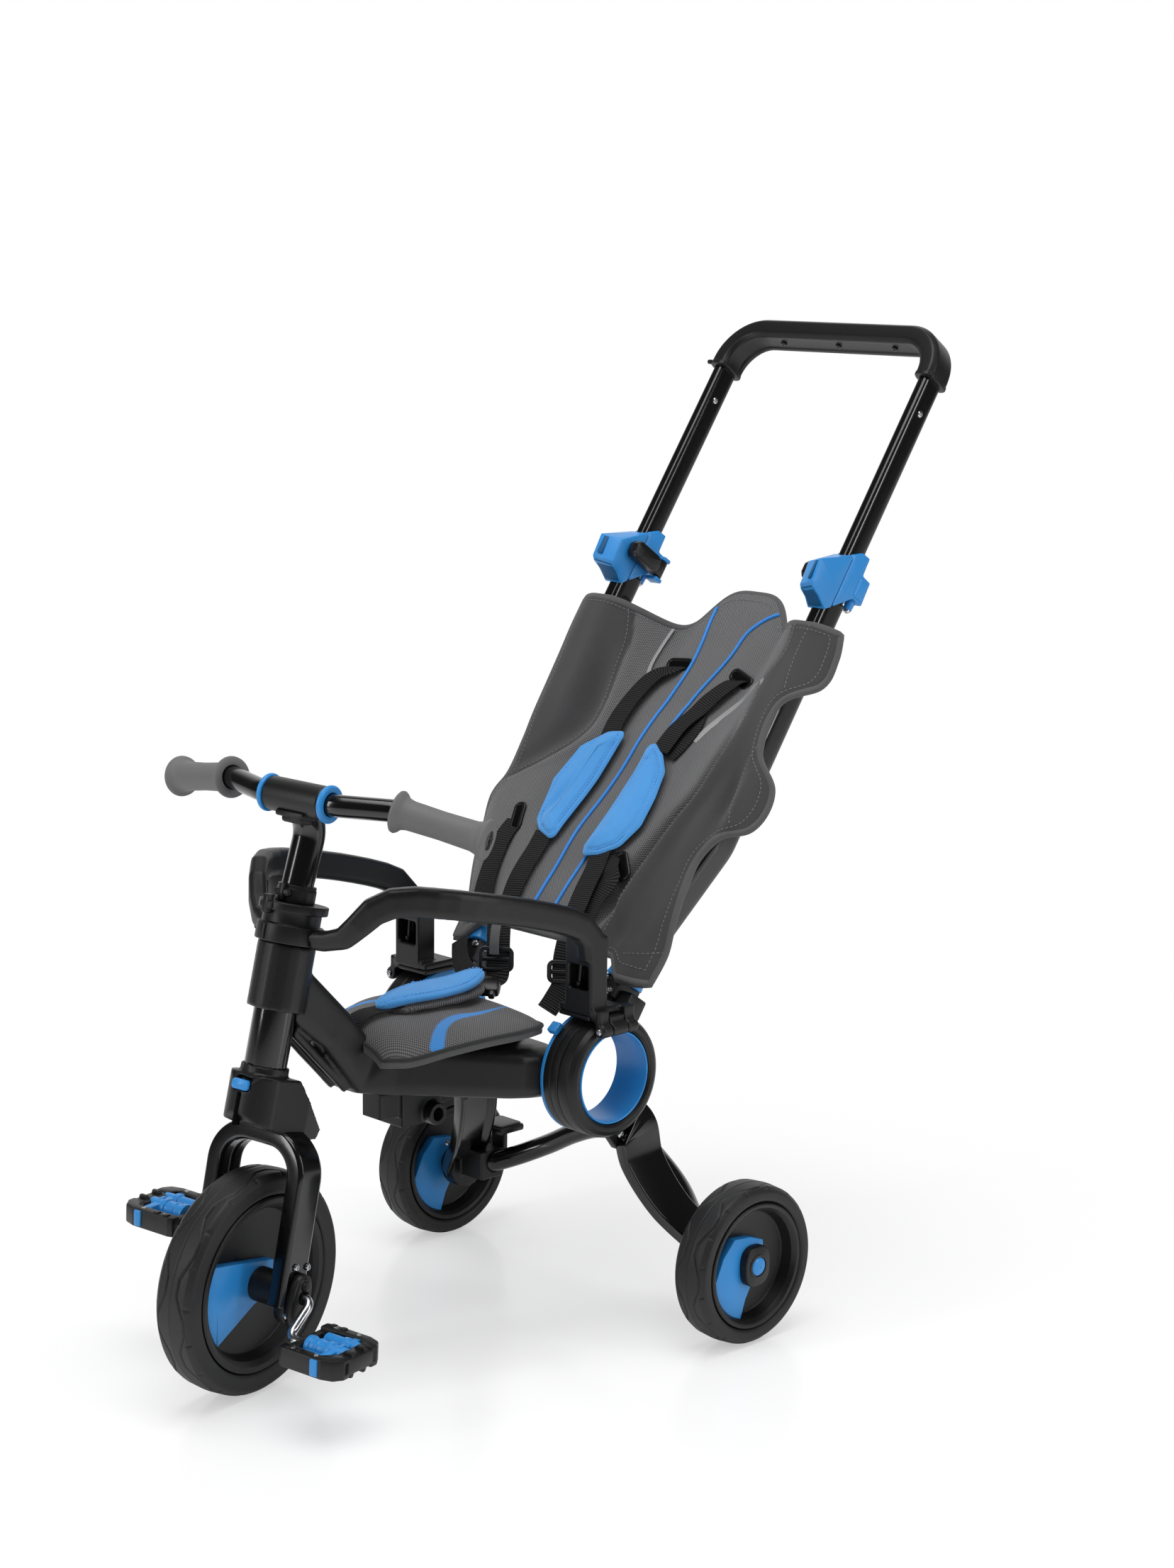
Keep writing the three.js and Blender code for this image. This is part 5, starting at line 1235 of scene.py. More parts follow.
for name, side in SIDES:
    piece(
        name + "_tube_steel", mirrored(tube(back_path, 16.4, TUBE_HALF, (0, 1, 0), 0.5, 56), side),
        BACK, black_steel, "backrest", name + "_back_tube", smooth=60
    )
    foot = merged(
        block([94.8, -10, 64.3], [131, 16, 86], 2), block([93, -18, 74], [116, 18, 98], 3)
    )
    piece(name + "_tube_foot", mirrored(foot, side), BACK, black_plastic, "backrest")
    socket_path = evenly([[104.5, 0, 96], [106, 0, 104], [114.5, 0, 134]], 30)
    socket = tube(
        socket_path, 20, 13.2, (0, 1, 0), 0.62, 40, 1.6, 1 + 0.10 * np.linspace(-1, 1, 30) ** 2
    )
    piece(name + "_tube_socket", mirrored(socket, side), BACK, blue_plastic, "backrest")
    bolts = [screw([x, -19, z], [0, -1, 0], 3.8) for x, z in ((98, 92), (110, 80))]
    bolts += [screw([93, y, z], [-1, 0, 0], 3.8) for y, z in ((-8, 92), (8, 80))]
    piece(name + "_foot_screws", mirrored(merged(*bolts), side), BACK, zinc, "backrest")
    front = drawn_back(
        plate(COLLAR_FRONT, COLLAR_INNER, COLLAR_OUTER, X, 1.5, 2.5, centre=[-25, 560])
    )
    rear = plate(COLLAR_REAR, COLLAR_INNER, COLLAR_OUTER, X, 1.5, 2, centre=[5, 578])
    rib = plate([[13, 561], [29, 561], [28, 583], [13, 583]], 134.8, 161.6, X, 1.5, 2)
    ears = [block([121, 13.5, z], [137, 24.5, z + 4.5], 1.2) for z in (551.5, 576)]
    lug = shifted(turned([[-10, 0], [-10, 4.6], [2, 5.4], [2, 0]], 32, Z, 1), [152, 23, 558])
    piece(
        name + "_collar_clamp", mirrored(merged(front, rear, rib, lug, *ears), side), BACK,
        blue_plastic, "backrest", name + "_clamp_collar"
    )
    # Painted shade: the slit and the mouth under the collar's hood are dark teal plates for the
    # shade inside them
    slit = block([150, -53.2, 545.5], [155.5, -48, 566.5], 1.0)
    mouth = [[-48, 538.2], [-32.5, 533.7], [-20, 528.4], [-20, 531], [-32.5, 536], [-47, 540.5]]
    mouth = drawn_back(plate(mouth, 138.5, 158, X, 0.4, 0.8, centre=[-33, 534.6]))
    piece(
        name + "_collar_slot_shade", mirrored(merged(drawn_back(slit), mouth), side), BACK, collar_painted_shade,
        "backrest"
    )
    piece(
        name + "_collar_bolt", mirrored(screw([152, 23, 547.6], [0, 0, -1], 3.8), side), BACK, zinc,
        "backrest"
    )
    cam = [
        [-31, 561], [-27, 556], [4, 556], [10, 558], [12, 566], [10, 574], [4, 576], [-27, 576],
        [-31, 571]
    ]
    cam = plate(cam, 119.5, 134.4, X, 2.6, 4)
    # The lever's root is a knuckle on the axis that it swings about, between the collar's ears
    knuckle = shifted(turned(bar(-9.5, 9.5, 5), 32, Z, 1), [126.2, 19, 566])
    root = merged(block([121, 6, 557], [131, 21, 575], 1.5), knuckle)
    piece(
        name + "_cam_moulding", mirrored(merged(cam, root), side), BACK, nylon, name + "_cam_lever",
        name + "_cam_lever"
    )
    button = shifted(turned(bar(137, 138.6, 9.5), 40, X, 0.6), [0, 4, 512])
    piece(name + "_tube_button", mirrored(button, side), BACK, nylon, "backrest")
LOOP_TOP, GRIP_LOW = 862, 811
handle_path = bent(
    [[-TUBE_X, 0, 505], [-TUBE_X, 0, LOOP_TOP], [TUBE_X, 0, LOOP_TOP], [TUBE_X, 0, 505]], 44, 20,
    260
)
piece(
    "handle_tube", tube(handle_path, 14.3, 7.4, (0, 1, 0), 0.6, 56), BACK, black_steel, "handle",
    "push_handle", smooth=60
)
grip_path = handle_path[handle_path[:, 2] > GRIP_LOW]
# The grip's section has a shallow channel along its inner face
outer_face = [[-18.3, -7], [-13, -11.5], [13, -11.5], [18.3, -7], [18.3, 7]]
inner_face = [[14, 11.5], [10, 11.5], [8, 9.8], [-8, 9.8], [-10, 11.5], [-14, 11.5], [-18.3, 7]]
grip_section = rounded(outer_face + inner_face, 3.5, 4)
piece(
    "handle_moulding", carried(evenly(grip_path, 220), grip_section, (0, 1, 0), 1.6), BACK,
    black_plastic, "handle", "handle_grip", smooth=50
)
end_lines = [evenly([[x, 0, GRIP_LOW], [x, 0, GRIP_LOW + 5]], 6) for x in (-TUBE_X, TUBE_X)]
grip_ends = [tube(line, 19.6, 12.8, (0, 1, 0), 0.62, 40, 1.2) for line in end_lines]
grip_ends += [
    shifted(turned(bar(0, 5, 2.6), 20, X, 0.8), [x, -16, GRIP_LOW + 2.5]) for x in (-162, 157)
]
piece("handle_ends", merged(*grip_ends), BACK, black_plastic, "handle")
handle_bolts = [screw([x, 0, 851.6], [0, 0, -1], 3.4) for x in (-80, 0, 80)]
piece("handle_screws", merged(*handle_bolts), BACK, nylon, "handle")
tube_bolts = [screw([side * TUBE_X + 7.3, -2, 772], [1, 0, 0], 3.6) for _, side in SIDES]
piece("tube_screws", merged(*tube_bolts), BACK, zinc, "handle")
print("back tubes and handle made")

# %% [markdown]
# The backrest is a sling of quilted cloth. Its place is a height field over the plane of the back
# tubes: x across, s up the tubes, and the depth, which is negative towards the child. The middle
# sags between the tubes, the wings lap over them, and the top rises to a crest.

# %% Cover: its outline and depth
# Rows of the cover: place up the tubes, reach to each side, and depth of the sag
STATIONS = np.array([
    [112, 148, 128, -42], [130, 151, 131, -41], [165, 150, 150, -35], [200, 149, 172, -26],
    [236, 150, 186, -18], [262, 164, 176, -12], [280, 186, 164, -8], [326, 189, 164, 1],
    [358, 166, 168, 6], [413, 162, 172, 22], [447, 190, 176, 33], [480, 192, 184, 42],
    [508, 188, 188, 49],
], float)
COVER_LOW, COVER_HIGH, CREST_FROM = 112.0, 508.0, 413.0
CREST_HEIGHT, CREST_HALF = 60, 58
LOBE_TOP, LOBE_RISE, LOBE_DROP = 130, 18, 24
EDGE_ROUND, EDGE_FADE, COVER_HALF = 5, 12, 3.6
SAG_HALF, LAP, FOOT_LAP, WING_DROP, WING_REACH = 58, 21, 3.5, 23, 36
# Seams and piping as points, seams by (place up, across) and piping by (across, place up)
NEAR_SEAM = [
    [112, 76], [150, 80], [195, 84], [266, 96], [303, 109], [346, 119], [384, 123], [439, 124],
    [469, 136], [508, 134]
]
FAR_SEAM = [
    [112, -190], [262, -176], [286, -146], [314, -114], [344, -94], [362, -89], [382, -90],
    [438, -99], [471, -103], [508, -112]
]
NEAR_PIPE = [
    [-43, 541], [-39, 519], [-33, 495], [-27, 458], [-26, 391], [-22, 314], [-26, 238], [-20, 174],
    [-18, 150], [-17, 120]
]
FAR_PIPE = [
    [46, 543], [35, 533], [22, 512], [19, 481], [6, 418], [5, 355], [6, 290], [8, 211], [10, 178],
    [12, 150], [13, 120]
]
near_seam_line, far_seam_line = [spline(t, 400) for t in (NEAR_SEAM, FAR_SEAM)]


def column(table, s):
    """A value of a smoothed table at a height."""
    return np.interp(s, table[:, 0], table[:, 1])


width_left, width_right, middle_depth = [spline(STATIONS[:, [0, k]], 600) for k in (1, 2, 3)]


def crest(x):
    """How far the top rises over the plain rows: a flat-topped bell, with the fourth power of the
    share across."""
    return CREST_HEIGHT * np.exp(-((np.asarray(x, float) / CREST_HALF) ** 4))


def lobe_share(x):
    """Share of the two lobes at the foot: a smooth rise, then a fall with the fourth power to the
    side."""
    off = np.abs(x)
    return smooth_share((off - 98) / 20) * (1 - 0.8 * np.clip((off - 120) / 36, 0, 1) ** 3)


def row_of(x, s):
    """The plain row that a point's real height comes from: the crest and the lobes undone."""
    k, m = crest(x) / (COVER_HIGH - CREST_FROM), LOBE_DROP * lobe_share(x) / LOBE_RISE
    upper, lower = (s + CREST_FROM * k) / (1 + k), (s + m * LOBE_TOP) / (1 + m)
    return np.where(s > CREST_FROM, upper, np.where(s < LOBE_TOP, lower, s))


def height_of(x, r):
    """Real height of a point of a plain row."""
    up = crest(x) * np.clip((r - CREST_FROM) / (COVER_HIGH - CREST_FROM), 0, 1)
    return r + up - LOBE_DROP * lobe_share(x) * np.clip((LOBE_TOP - r) / LOBE_RISE, 0, 1)


def depth_of(x, r):
    """Depth of the cloth's middle: the sag, blended into the lap over the tubes, and the drop of
    the wings outside."""
    off = np.abs(x)
    spacing = FOOT_X + (TUBE_X - FOOT_X) * np.clip((r - BEND_LOW) / (BEND_HIGH - BEND_LOW), 0, 1)
    lap = LAP + FOOT_LAP * (1 - smooth_share((r - BEND_LOW) / 40))
    inside = smooth_share((off - SAG_HALF) / (spacing - TUBE_HALF - SAG_HALF))
    outside = np.maximum(off - spacing - TUBE_HALF, 0)
    sag = column(middle_depth, r)
    return sag * (1 - inside) - lap * inside + WING_DROP * (outside / WING_REACH) ** 2


def bell(distance, width):
    """One at no distance, and falling on both sides."""
    return np.exp(-((distance / width) ** 2))


# Folds: rise, the seam followed, place and width across, slant, and place and height up the cover
FOLDS = [
    (-8, "none", 152, 8, 0, 305, 34),
    (5, "none", 172, 10, 0, 305, 40),
    (-15, "far", -19, 13, 0, 400, 75),
    (5, "far", 4, 9, 0, 380, 70),
    (-5, "none", -69, 6, 0.25, 262, 24),
    (-2.0, "none", 88, 5, -0.4, 150, 22),
    (1.6, "none", 104, 8, 0, 160, 30),
]


def relief_of(x, r):
    """Folds and seams, positive towards the child: each fold is a bell across times a bell up, and
    bells run along the seams. Slow waves make the creases."""
    near, far = column(near_seam_line, r), column(far_seam_line, r)
    total = -1.5 * (bell(x - near, 2.4) + bell(x - far, 2.4))
    for rise, seam, place, width, slant, up, tall in FOLDS:
        across = x - (far if seam == "far" else 0)
        total = total + rise * bell(across - place - slant * (r - up), width) * bell(r - up, tall)
    # A deep fold runs beside the near seam, between the lap over the tubes' foot and the crest
    along = smooth_share((r - 120) / 60) * smooth_share((410 - r) / 90)
    total = total + (9 * bell(x - near - 8, 9) - 24 * bell(x - near + 11, 7.5)) * along
    waves = 0.55 * np.sin(x / 19 + r / 37) * np.sin(r / 23 - x / 41)
    ripple = 0.35 * np.sin(x / 8.3 - r / 29) * bell(r - 190, 70)
    wing = smooth_share((np.abs(x) - 90) / 40)
    drape = 1.3 * wing * np.sin(r / 31 + x / 23) * np.sin(x / 11 - r / 61)
    return total + waves + ripple + drape


def edge_of(x, r):
    """Distance to the nearest edge of the cover, in millimetres."""
    side = np.minimum(column(width_left, r) - x, x + column(width_right, r))
    return np.minimum(side, np.minimum(COVER_HIGH - r, r - COVER_LOW))


def fat_of(x, r):
    """Half thickness: a quarter round over the last few millimetres to the edge."""
    near = np.clip(edge_of(x, r) / EDGE_ROUND, 0, 1)
    return COVER_HALF * np.sqrt(np.maximum(0, 1 - (1 - near) ** 2))


def front_of(x, s, out=0.0):
    """A point lying on the cover's front, lifted towards the child."""
    x, s = np.broadcast_arrays(np.asarray(x, float), np.asarray(s, float))
    r = np.clip(row_of(x, s), COVER_LOW, COVER_HIGH)
    depth = (
        depth_of(x, r) - fat_of(x, r) - relief_of(x, r) * np.clip(edge_of(x, r) / EDGE_FADE, 0, 1)
        - out
    )
    return np.stack([x, depth, s], -1)


def cover_shape(rows=230, columns=210):
    """Front and back of the cover as one closed surface, and its cloth plane; a sine packs the rows
    at the edges."""
    r = np.sin(np.linspace(-1, 1, rows) * 1.38)
    r = COVER_LOW + (r - r[0]) / (r[-1] - r[0]) * (COVER_HIGH - COVER_LOW)
    u = np.sin(np.linspace(-1, 1, columns) * 1.30) / math.sin(1.30) * 0.5 + 0.5
    r = r[:, None] + 0 * u
    near, far = column(near_seam_line, r), column(far_seam_line, r)
    x = -column(width_right, r) + u * (column(width_right, r) + column(width_left, r))
    s, flat = height_of(x, r), np.clip(edge_of(x, r) / EDGE_FADE, 0, 1)
    depth, fat, rise = depth_of(x, r), fat_of(x, r), relief_of(x, r) * flat
    front = np.stack([x, depth - fat - rise, s], -1)
    back = np.stack([x, depth + fat - 0.7 * rise, s], -1)
    mask = smooth_share((x - far) / 1.5) * smooth_share((near - x) / 1.5)
    grid = np.concatenate([front, back[:, ::-1]], 1)
    drawn = np.concatenate([weave(x, s, mask), weave(x, s)[:, ::-1]], 1)
    return surface(grid, closed_columns=True), drawn.reshape(-1, 3)


def edge_line(inset=0.0, count=60):
    """The cover's outline as (across, row) places, drawn in by a distance: the foot, one side, the
    top, the other."""
    low_r, high_r = COVER_LOW + inset, COVER_HIGH - inset
    up = np.linspace(low_r, high_r, count * 3)
    left, right = column(width_left, up) - inset, -column(width_right, up) + inset
    across = np.linspace(0, 1, count * 2)[:, None]
    foot = np.concatenate([right[0] + (left[0] - right[0]) * across, 0 * across + low_r], 1)
    top = np.concatenate([left[-1] + (right[-1] - left[-1]) * across, 0 * across + high_r], 1)
    return np.concatenate(
        [foot, np.stack([left, up], 1)[1:], top[1:], np.stack([right, up], 1)[::-1][1:-1]]
    )


cover, cover_cloth = cover_shape()
cover_piece = piece(
    "cover_cloth", cover, BACK, seat_cloth, "backrest", "backrest_cover", smooth=80,
    cloth=cover_cloth
)
rim_line = edge_line(2.6)
rim_path = np.stack([rim_line[:, 0], depth_of(*rim_line.T), height_of(*rim_line.T)], 1)
rim_path = evenly(rim_path, 700, closed=True)
rim_section = oval_section(3.7, 3.9, 0.7, 20)


def along_cloth(rows, section, length):
    """Cloth plane of a carried section: round the section, and along the path."""
    around = np.linspace(0, 2 * np.abs(section).max(), len(section))
    u, v = np.meshgrid(around, np.linspace(0, length, rows))
    return weave(u, v).reshape(-1, 3)


rim_length = np.linalg.norm(np.diff(rim_path, axis=0), axis=1).sum()
binding = piece(
    "cover_binding", looped(rim_path, rim_section, (0, 1, 0)), BACK, binding_cloth, "backrest",
    smooth=80, cloth=along_cloth(700, rim_section, rim_length)
)
stitch_line = edge_line(8.5)
stitch_line = evenly(np.stack([stitch_line[:, 0], height_of(*stitch_line.T)], 1), 900)


def sewn(name, line):
    """A row of stitches along a line of (across, place up) points on the cover."""
    path = front_of(line[:, 0], line[:, 1], 0.25)
    return piece(name, stitches(path, (0, -1, 0), 3.2, 1.6, 0.5), BACK, thread_grey, "backrest")


EAR = [[158, 506], [156, 480], [158, 455], [163, 430]]
LOBE = [[163, 372], [157, 345], [158, 312], [170, 276]]
FOOT = [[112, 118], [124, 121], [138, 126], [150, 134]]
SEAM_SIDE = np.array([4, 0])
sewn("cover_edge_stitches", stitch_line)
sewn("cover_near_stitches", evenly(near_seam_line[:, ::-1] + SEAM_SIDE, 300))
far_line = far_seam_line[far_seam_line[:, 0] > 290]
sewn("cover_far_stitches", evenly(far_line[:, ::-1] - SEAM_SIDE, 260))
sewn("cover_ear_stitches", routed(EAR, 60, 80))
sewn("cover_lobe_stitches", routed(LOBE, 60, 80))
sewn("cover_foot_stitches", routed(FOOT, 60, 40))
for name, line in (("left", FAR_PIPE), ("right", NEAR_PIPE)):
    line = routed(line, 200, 260)
    cord_path = front_of(line[:, 0], line[:, 1], 0.9)
    piece(
        name + "_piping", tube(cord_path, 1.9, 1.9, (1, 0, 0), sides=14), BACK, piping_blue,
        "backrest", smooth=80
    )
print("cover made")

# %% [markdown]
# Straps are flat ribbons carried along a smooth line. Each has the webbing's own plane, so that
# the ribs run across it. The pads are leaves with a stitched border.

# %% Straps
WEB_HALF, WAIST_HALF, WEB_THICK = 12.5, 11, 0.7
RIBBON = rounded(oblong(WEB_HALF, WEB_THICK), 0.5, 3)


def ribbon(
    name, points, lie, body="backrest", place=BACK, half=WEB_HALF, material=webbing,
    thick=WEB_THICK, count=120
):
    """A strap through points; lie is the direction of its width, for all of it or at each point."""
    path = routed(points, 300, count)
    lie = np.asarray(lie, float)
    if lie.ndim == 2:
        lie = spline(lie, 300)[np.linspace(0, 299, count).astype(int)]
    section = RIBBON * [half / WEB_HALF, thick / WEB_THICK]
    length = np.linalg.norm(np.diff(path, axis=0), axis=1).sum()
    run = np.concatenate([[0] * 3, np.linspace(0, length, count), [length] * 3])
    u, v = np.meshgrid(section[:, 0], run)
    shape = carried(path, section, lie, 0.3)
    return piece(name, shape, place, material, body, smooth=60, cloth=weave(u, v).reshape(-1, 3))


def on_cover(places, out):
    """Points on the cover's front, each lifted by its own height."""
    places, out = np.asarray(places, float), np.asarray(out, float)
    return front_of(places[:, 0], places[:, 1]) - out[:, None] * [0, 1, 0]


def slot_frame(name, x, s, tilt):
    """A moulded frame round a slot in the cover, and a near-black plate in it as painted shade of
    the slot.
    """
    at = front_of(x, s, 1.0)
    cosine, sine = math.cos(tilt), math.sin(tilt)
    turn = np.array([[cosine, 0, sine], [0, 1, 0], [-sine, 0, cosine]])
    outline = soft_loop(oblong(16, 6), 5, 5, 64)
    ring = hoop(outline, oval_section(1.6, 2.2, 0.8, 12))
    piece(name + "_slot_frame", shifted(ring, at, turn), BACK, nylon, "backrest", smooth=60)
    # Painted shade: the slot's inside is a near-black plate
    hole = plate(outline * 0.9, -1.2, 0.4, Y, 0.3)
    piece(name + "_slot_shade", shifted(hole, at, turn), BACK, hollow_painted_shade, "backrest")


slot_frame("left", 50, 455, 0.35)
slot_frame("right", -44, 461, -0.1)
slot_frame("low", 62, 207, 0.9)
# Each strap: places on the cover, lift at each place, and how much its width tilts
STRAPS = {
    "left_upper_strap": (
        [(50, 455), (46, 447), (37, 426), (29, 403), (23, 378), (20, 345)], [-1, 4, 7, 6, 8, 8],
        0.12
    ),
    "right_upper_strap": (
        [(-44, 461), (-48, 452), (-60, 440), (-67, 413), (-65, 376), (-58, 345)],
        [-1, 4, 8, 7, 8, 8], 0.1
    ),
    "left_back_fold": ([(30, 398), (35, 383), (34, 360), (28, 343)], [3, 2.5, 2.5, 3], -0.1),
    "left_lower_strap": (
        [(30, 216), (36, 196), (43, 170), (50, 146), (56, 122)], [7, 7, 8, 9, 12], 0.1
    ),
    "left_under_strap": (
        [(38, 216), (50, 200), (60, 186), (58, 160), (62, 134)], [3, 5, 4, 3, 5], -0.25
    ),
    "right_lower_strap": (
        [(-62, 226), (-59, 205), (-56, 182), (-52, 160), (-49, 142)], [7, 7, 7, 6, 4], -0.1
    ),
    "right_side_strap": (
        [(-118, 232), (-120, 212), (-118, 188), (-112, 160), (-100, 132)], [0, 4, 5, 6, 9], -0.05
    ),
}
for name, (places, out, tilt) in STRAPS.items():
    ribbon(name, on_cover(places, out), (1, 0, tilt))
slot_frame("far", -116, 236, 1.35)

# Two reflective tapes run up the wings
TAPE_LEFT = [(127, 437), (104, 432), (77, 424), (62, 408), (54, 388), (48, 367)]
TAPE_RIGHT = [(-80, 503), (-80, 478), (-78, 452), (-72, 432), (-68, 414)]
for name, line in (("left", TAPE_LEFT), ("right", TAPE_RIGHT)):
    path = front_of(*np.array(line).T, 0.5)
    lie = np.cross(np.gradient(path, axis=0), (0, -1, 0))
    ribbon(name + "_tape", path, lie, half=3.6, material=reflective, thick=0.35)

# %% Shoulder pads
PAD_STITCH, BORDER = (2.6, 1.5, 0.5), 6
PAD_LEFT = [
    (7, 355), (27, 342), (44, 322), (54, 289), (59, 254), (50, 225), (30, 211), (10, 206), (4, 216),
    (4, 268), (4, 315), (1, 348)
]
PAD_RIGHT = [
    (-45, 362), (-63, 359), (-84, 332), (-92, 287), (-82, 235), (-70, 225), (-42, 215), (-42, 235),
    (-38, 300), (-40, 355)
]


def leaf(outline, centre_line, thick, rings=16):
    """A padded leaf: loops from the outline in to a centre line, and the height a rounded step with
    a sewn border."""
    rim = soft_loop(outline, 14, 6, 150)
    low_s, high_s = centre_line[0][1], centre_line[1][1]
    t = np.clip((rim[:, 1] - low_s) / (high_s - low_s), 0, 1)[:, None]
    heart = np.array(centre_line[0]) * (1 - t) + np.array(centre_line[1]) * t
    loops, heights = [], []
    reach = np.linalg.norm(heart - rim, axis=1)
    for k in np.linspace(0, 1, rings):
        loops.append(rim * (1 - k) + heart * k)
        inward = reach * k
        edge = np.sqrt(np.clip(inward / 4, 0, 1))
        crown = np.sqrt(np.clip((inward - BORDER) / 16, 0, 1))
        heights.append(thick * (0.35 * edge + 0.65 * crown) - 0.9 * bell(inward - BORDER, 1.3))
    return np.array(loops), np.array(heights)


def pad(name, outline, centre_line, lift, replaced):
    """A shoulder pad: the leaf lies over the cover, its back flat, its border stitched."""
    loops, heights = leaf(outline, centre_line, 8.5)
    across, up = loops[..., 0], loops[..., 1]
    base = front_of(across, up, lift)
    wrinkle = 0.35 * np.sin(across / 5 + up / 9) * np.sin(up / 6.5) * (heights > 6)
    front = base - (heights + wrinkle)[..., None] * [0, 1, 0]
    back = base + 0.5 * np.minimum(heights, 2)[..., None] * [0, 1, 0]
    grid = np.concatenate([front[::-1], back], 0)
    drawn = weave(across, up)
    drawn = np.concatenate([drawn[::-1], drawn], 0).reshape(-1, 3)
    made = piece(
        name, surface(grid, closed_columns=True), BACK, blue_cloth, "backrest", replaced, smooth=80,
        cloth=drawn
    )
    inset = BORDER / np.maximum(np.linalg.norm(loops[-1] - loops[0], axis=1), 8)[:, None]
    ring = loops[0] * (1 - inset) + loops[-1] * inset
    path = front_of(ring[:, 0], ring[:, 1], lift + 3.1)
    piece(
        name + "_stitches", stitches(path, (0, -1, 0), *PAD_STITCH), BACK, thread_blue, "backrest"
    )


pad("left_pad", PAD_LEFT, [(24, 240), (17, 330)], 8, "left_shoulder_pad")
pad("right_pad", PAD_RIGHT, [(-62, 245), (-58, 335)], 8, "right_shoulder_pad")
print("straps and pads made")

# %% [markdown]
# The cushion is a saddle: wide at the rear, drooping beside the beam in front. The crotch pad lies
# on it like a boat, with grey lobes under a blue top.

# %% Cushion
# Rows of the cushion: place along, half width, height in the middle, and droop at the sides
SEAT = np.array([
    [-217, 47, 336, 14], [-211, 56, 340, 17], [-198, 67, 343.5, 20], [-160, 84, 344, 13],
    [-120, 94, 343, 8], [-80, 97, 341, 6], [-50, 91, 339, 5], [-38, 82, 337, 5],
    [-30, 62, 334, 4],
], float)
SEAT_FRONT, SEAT_REAR, SEAT_MIDDLE, SEAT_REACH = -217, -30, -123.5, 93.5
seat_half, seat_height, seat_droop = [spline(SEAT[:, [0, k]], 400) for k in (1, 2, 3)]


def near_rim(u, y):
    """Share of the fall to the rim: nought inside and one at the edge, by high powers of both
    shares."""
    end = np.clip(np.abs((y - SEAT_MIDDLE) / SEAT_REACH), 0, 1) ** 12
    return 1 - (1 - u**10) * (1 - end)


def seat_at(x, y, out=0.0):
    """A point on the cushion's top: the middle height less the droop, which grows with the share
    across."""
    half = column(seat_half, y)
    u = np.clip(np.abs(x) / half, 0, 1)
    e = near_rim(u, y)
    z = column(seat_height, y) - column(seat_droop, y) * u**2.5 - 6.5 * e
    z = z + 1.4 * np.sin(y / 17) * np.sin(x / 23 + y / 31) * (1 - e)
    return np.stack([x, y, z + out], -1)


# The printed stripes, by (place along, across) of their two edges
OUTER_EDGE = [
    [-178, 73], [-173, 69], [-162, 61], [-145, 51], [-119, 43], [-88, 41], [-58, 40], [-30, 34]
]
INNER_EDGE = [[-170, 85], [-160, 75], [-149, 66], [-132, 58], [-103, 52], [-67, 46], [-30, 36.5]]
stripe_outer, stripe_inner = spline(OUTER_EDGE, 200), spline(INNER_EDGE, 200)


def cushion_shape(rows=150, columns=150):
    """Top and underside as one closed surface; the third cloth value is nought in the blue
    stripes."""
    packed = [np.sin(np.linspace(-1, 1, n) * 1.35) / math.sin(1.35) for n in (rows, columns)]
    y = SEAT_FRONT + (SEAT_REAR - SEAT_FRONT) * (packed[0] * 0.5 + 0.5)[:, None]
    u = packed[1][None]
    x, y = column(seat_half, y) * u, y + 0 * u
    top, share = seat_at(x, y), np.abs(u)
    under = top.copy()
    under[..., 2] = (
        column(seat_height, y) - column(seat_droop, y) * share**2.5 - 17 + 10.5 * near_rim(share, y)
    )
    outer, inner = column(stripe_outer, y), column(stripe_inner, y)
    in_stripe = (
        smooth_share((np.abs(x) - outer + 0.6) / 1.2)
        * smooth_share((inner - np.abs(x) + 0.6) / 1.2)
    )
    in_stripe = in_stripe * (y > OUTER_EDGE[0][0])
    grid = np.concatenate([top, under[:, ::-1]], 1)
    drawn = np.concatenate([weave(x, y, 1 - in_stripe), weave(x, y, 1.0)[:, ::-1]], 1)
    return surface(grid, closed_columns=True), drawn.reshape(-1, 3)


cushion, cushion_cloth_plane = cushion_shape()
cushion_piece = piece(
    "cushion_cloth", cushion, GROUND, cushion_cloth, "frame", "seat_cushion", smooth=80,
    cloth=cushion_cloth_plane
)
side_y = np.linspace(-216.4, -30.6, 150)
edge_left = np.stack([column(seat_half, side_y), side_y], 1)
rear_edge = [[30, -30.3], [0, -30.2], [-30, -30.3]]
front_edge = [[-30, -216.9], [0, -217], [30, -216.9]]
loop = np.concatenate([edge_left, rear_edge, edge_left[::-1] * [-1, 1], front_edge])
loop = evenly(loop, 420, closed=True)
seam_path = seat_at(loop[:, 0], loop[:, 1], 0)
seam_section = oval_section(2.3, 2.3, 1.0, 12)
seam = piece(
    "cushion_piping", looped(seam_path, seam_section, (0, 0, 1)), GROUND, dark_binding, "frame",
    smooth=80, cloth=along_cloth(420, seam_section, 800)
)
skirt_section = rounded(oblong(4, 1.6), 1.4, 3)
skirt = piece(
    "cushion_border", looped(seam_path * [0.985, 1, 1] - [0, 0, 4.2], skirt_section, (0, 0, 1)),
    GROUND, binding_cloth, "frame", smooth=80, cloth=along_cloth(420, skirt_section, 800)
)

# %% Crotch pad
CROTCH_RUN = [
    [0, -182, 353], [0, -165, 356.6], [0, -140, 358.6], [0, -106, 358.8], [0, -76, 359.6],
    [0, -56, 363.5], [0, -44, 367]
]
CROTCH_HALF = 25
crotch_path = routed(CROTCH_RUN, 200, 120)
t = np.linspace(0, 1, 120)
boat = np.sqrt(np.clip(np.sin(math.pi * (0.06 + 0.90 * t)), 0, 1))
leaf_half = CROTCH_HALF * boat * (0.72 + 0.28 * smooth_share(t / 0.45))


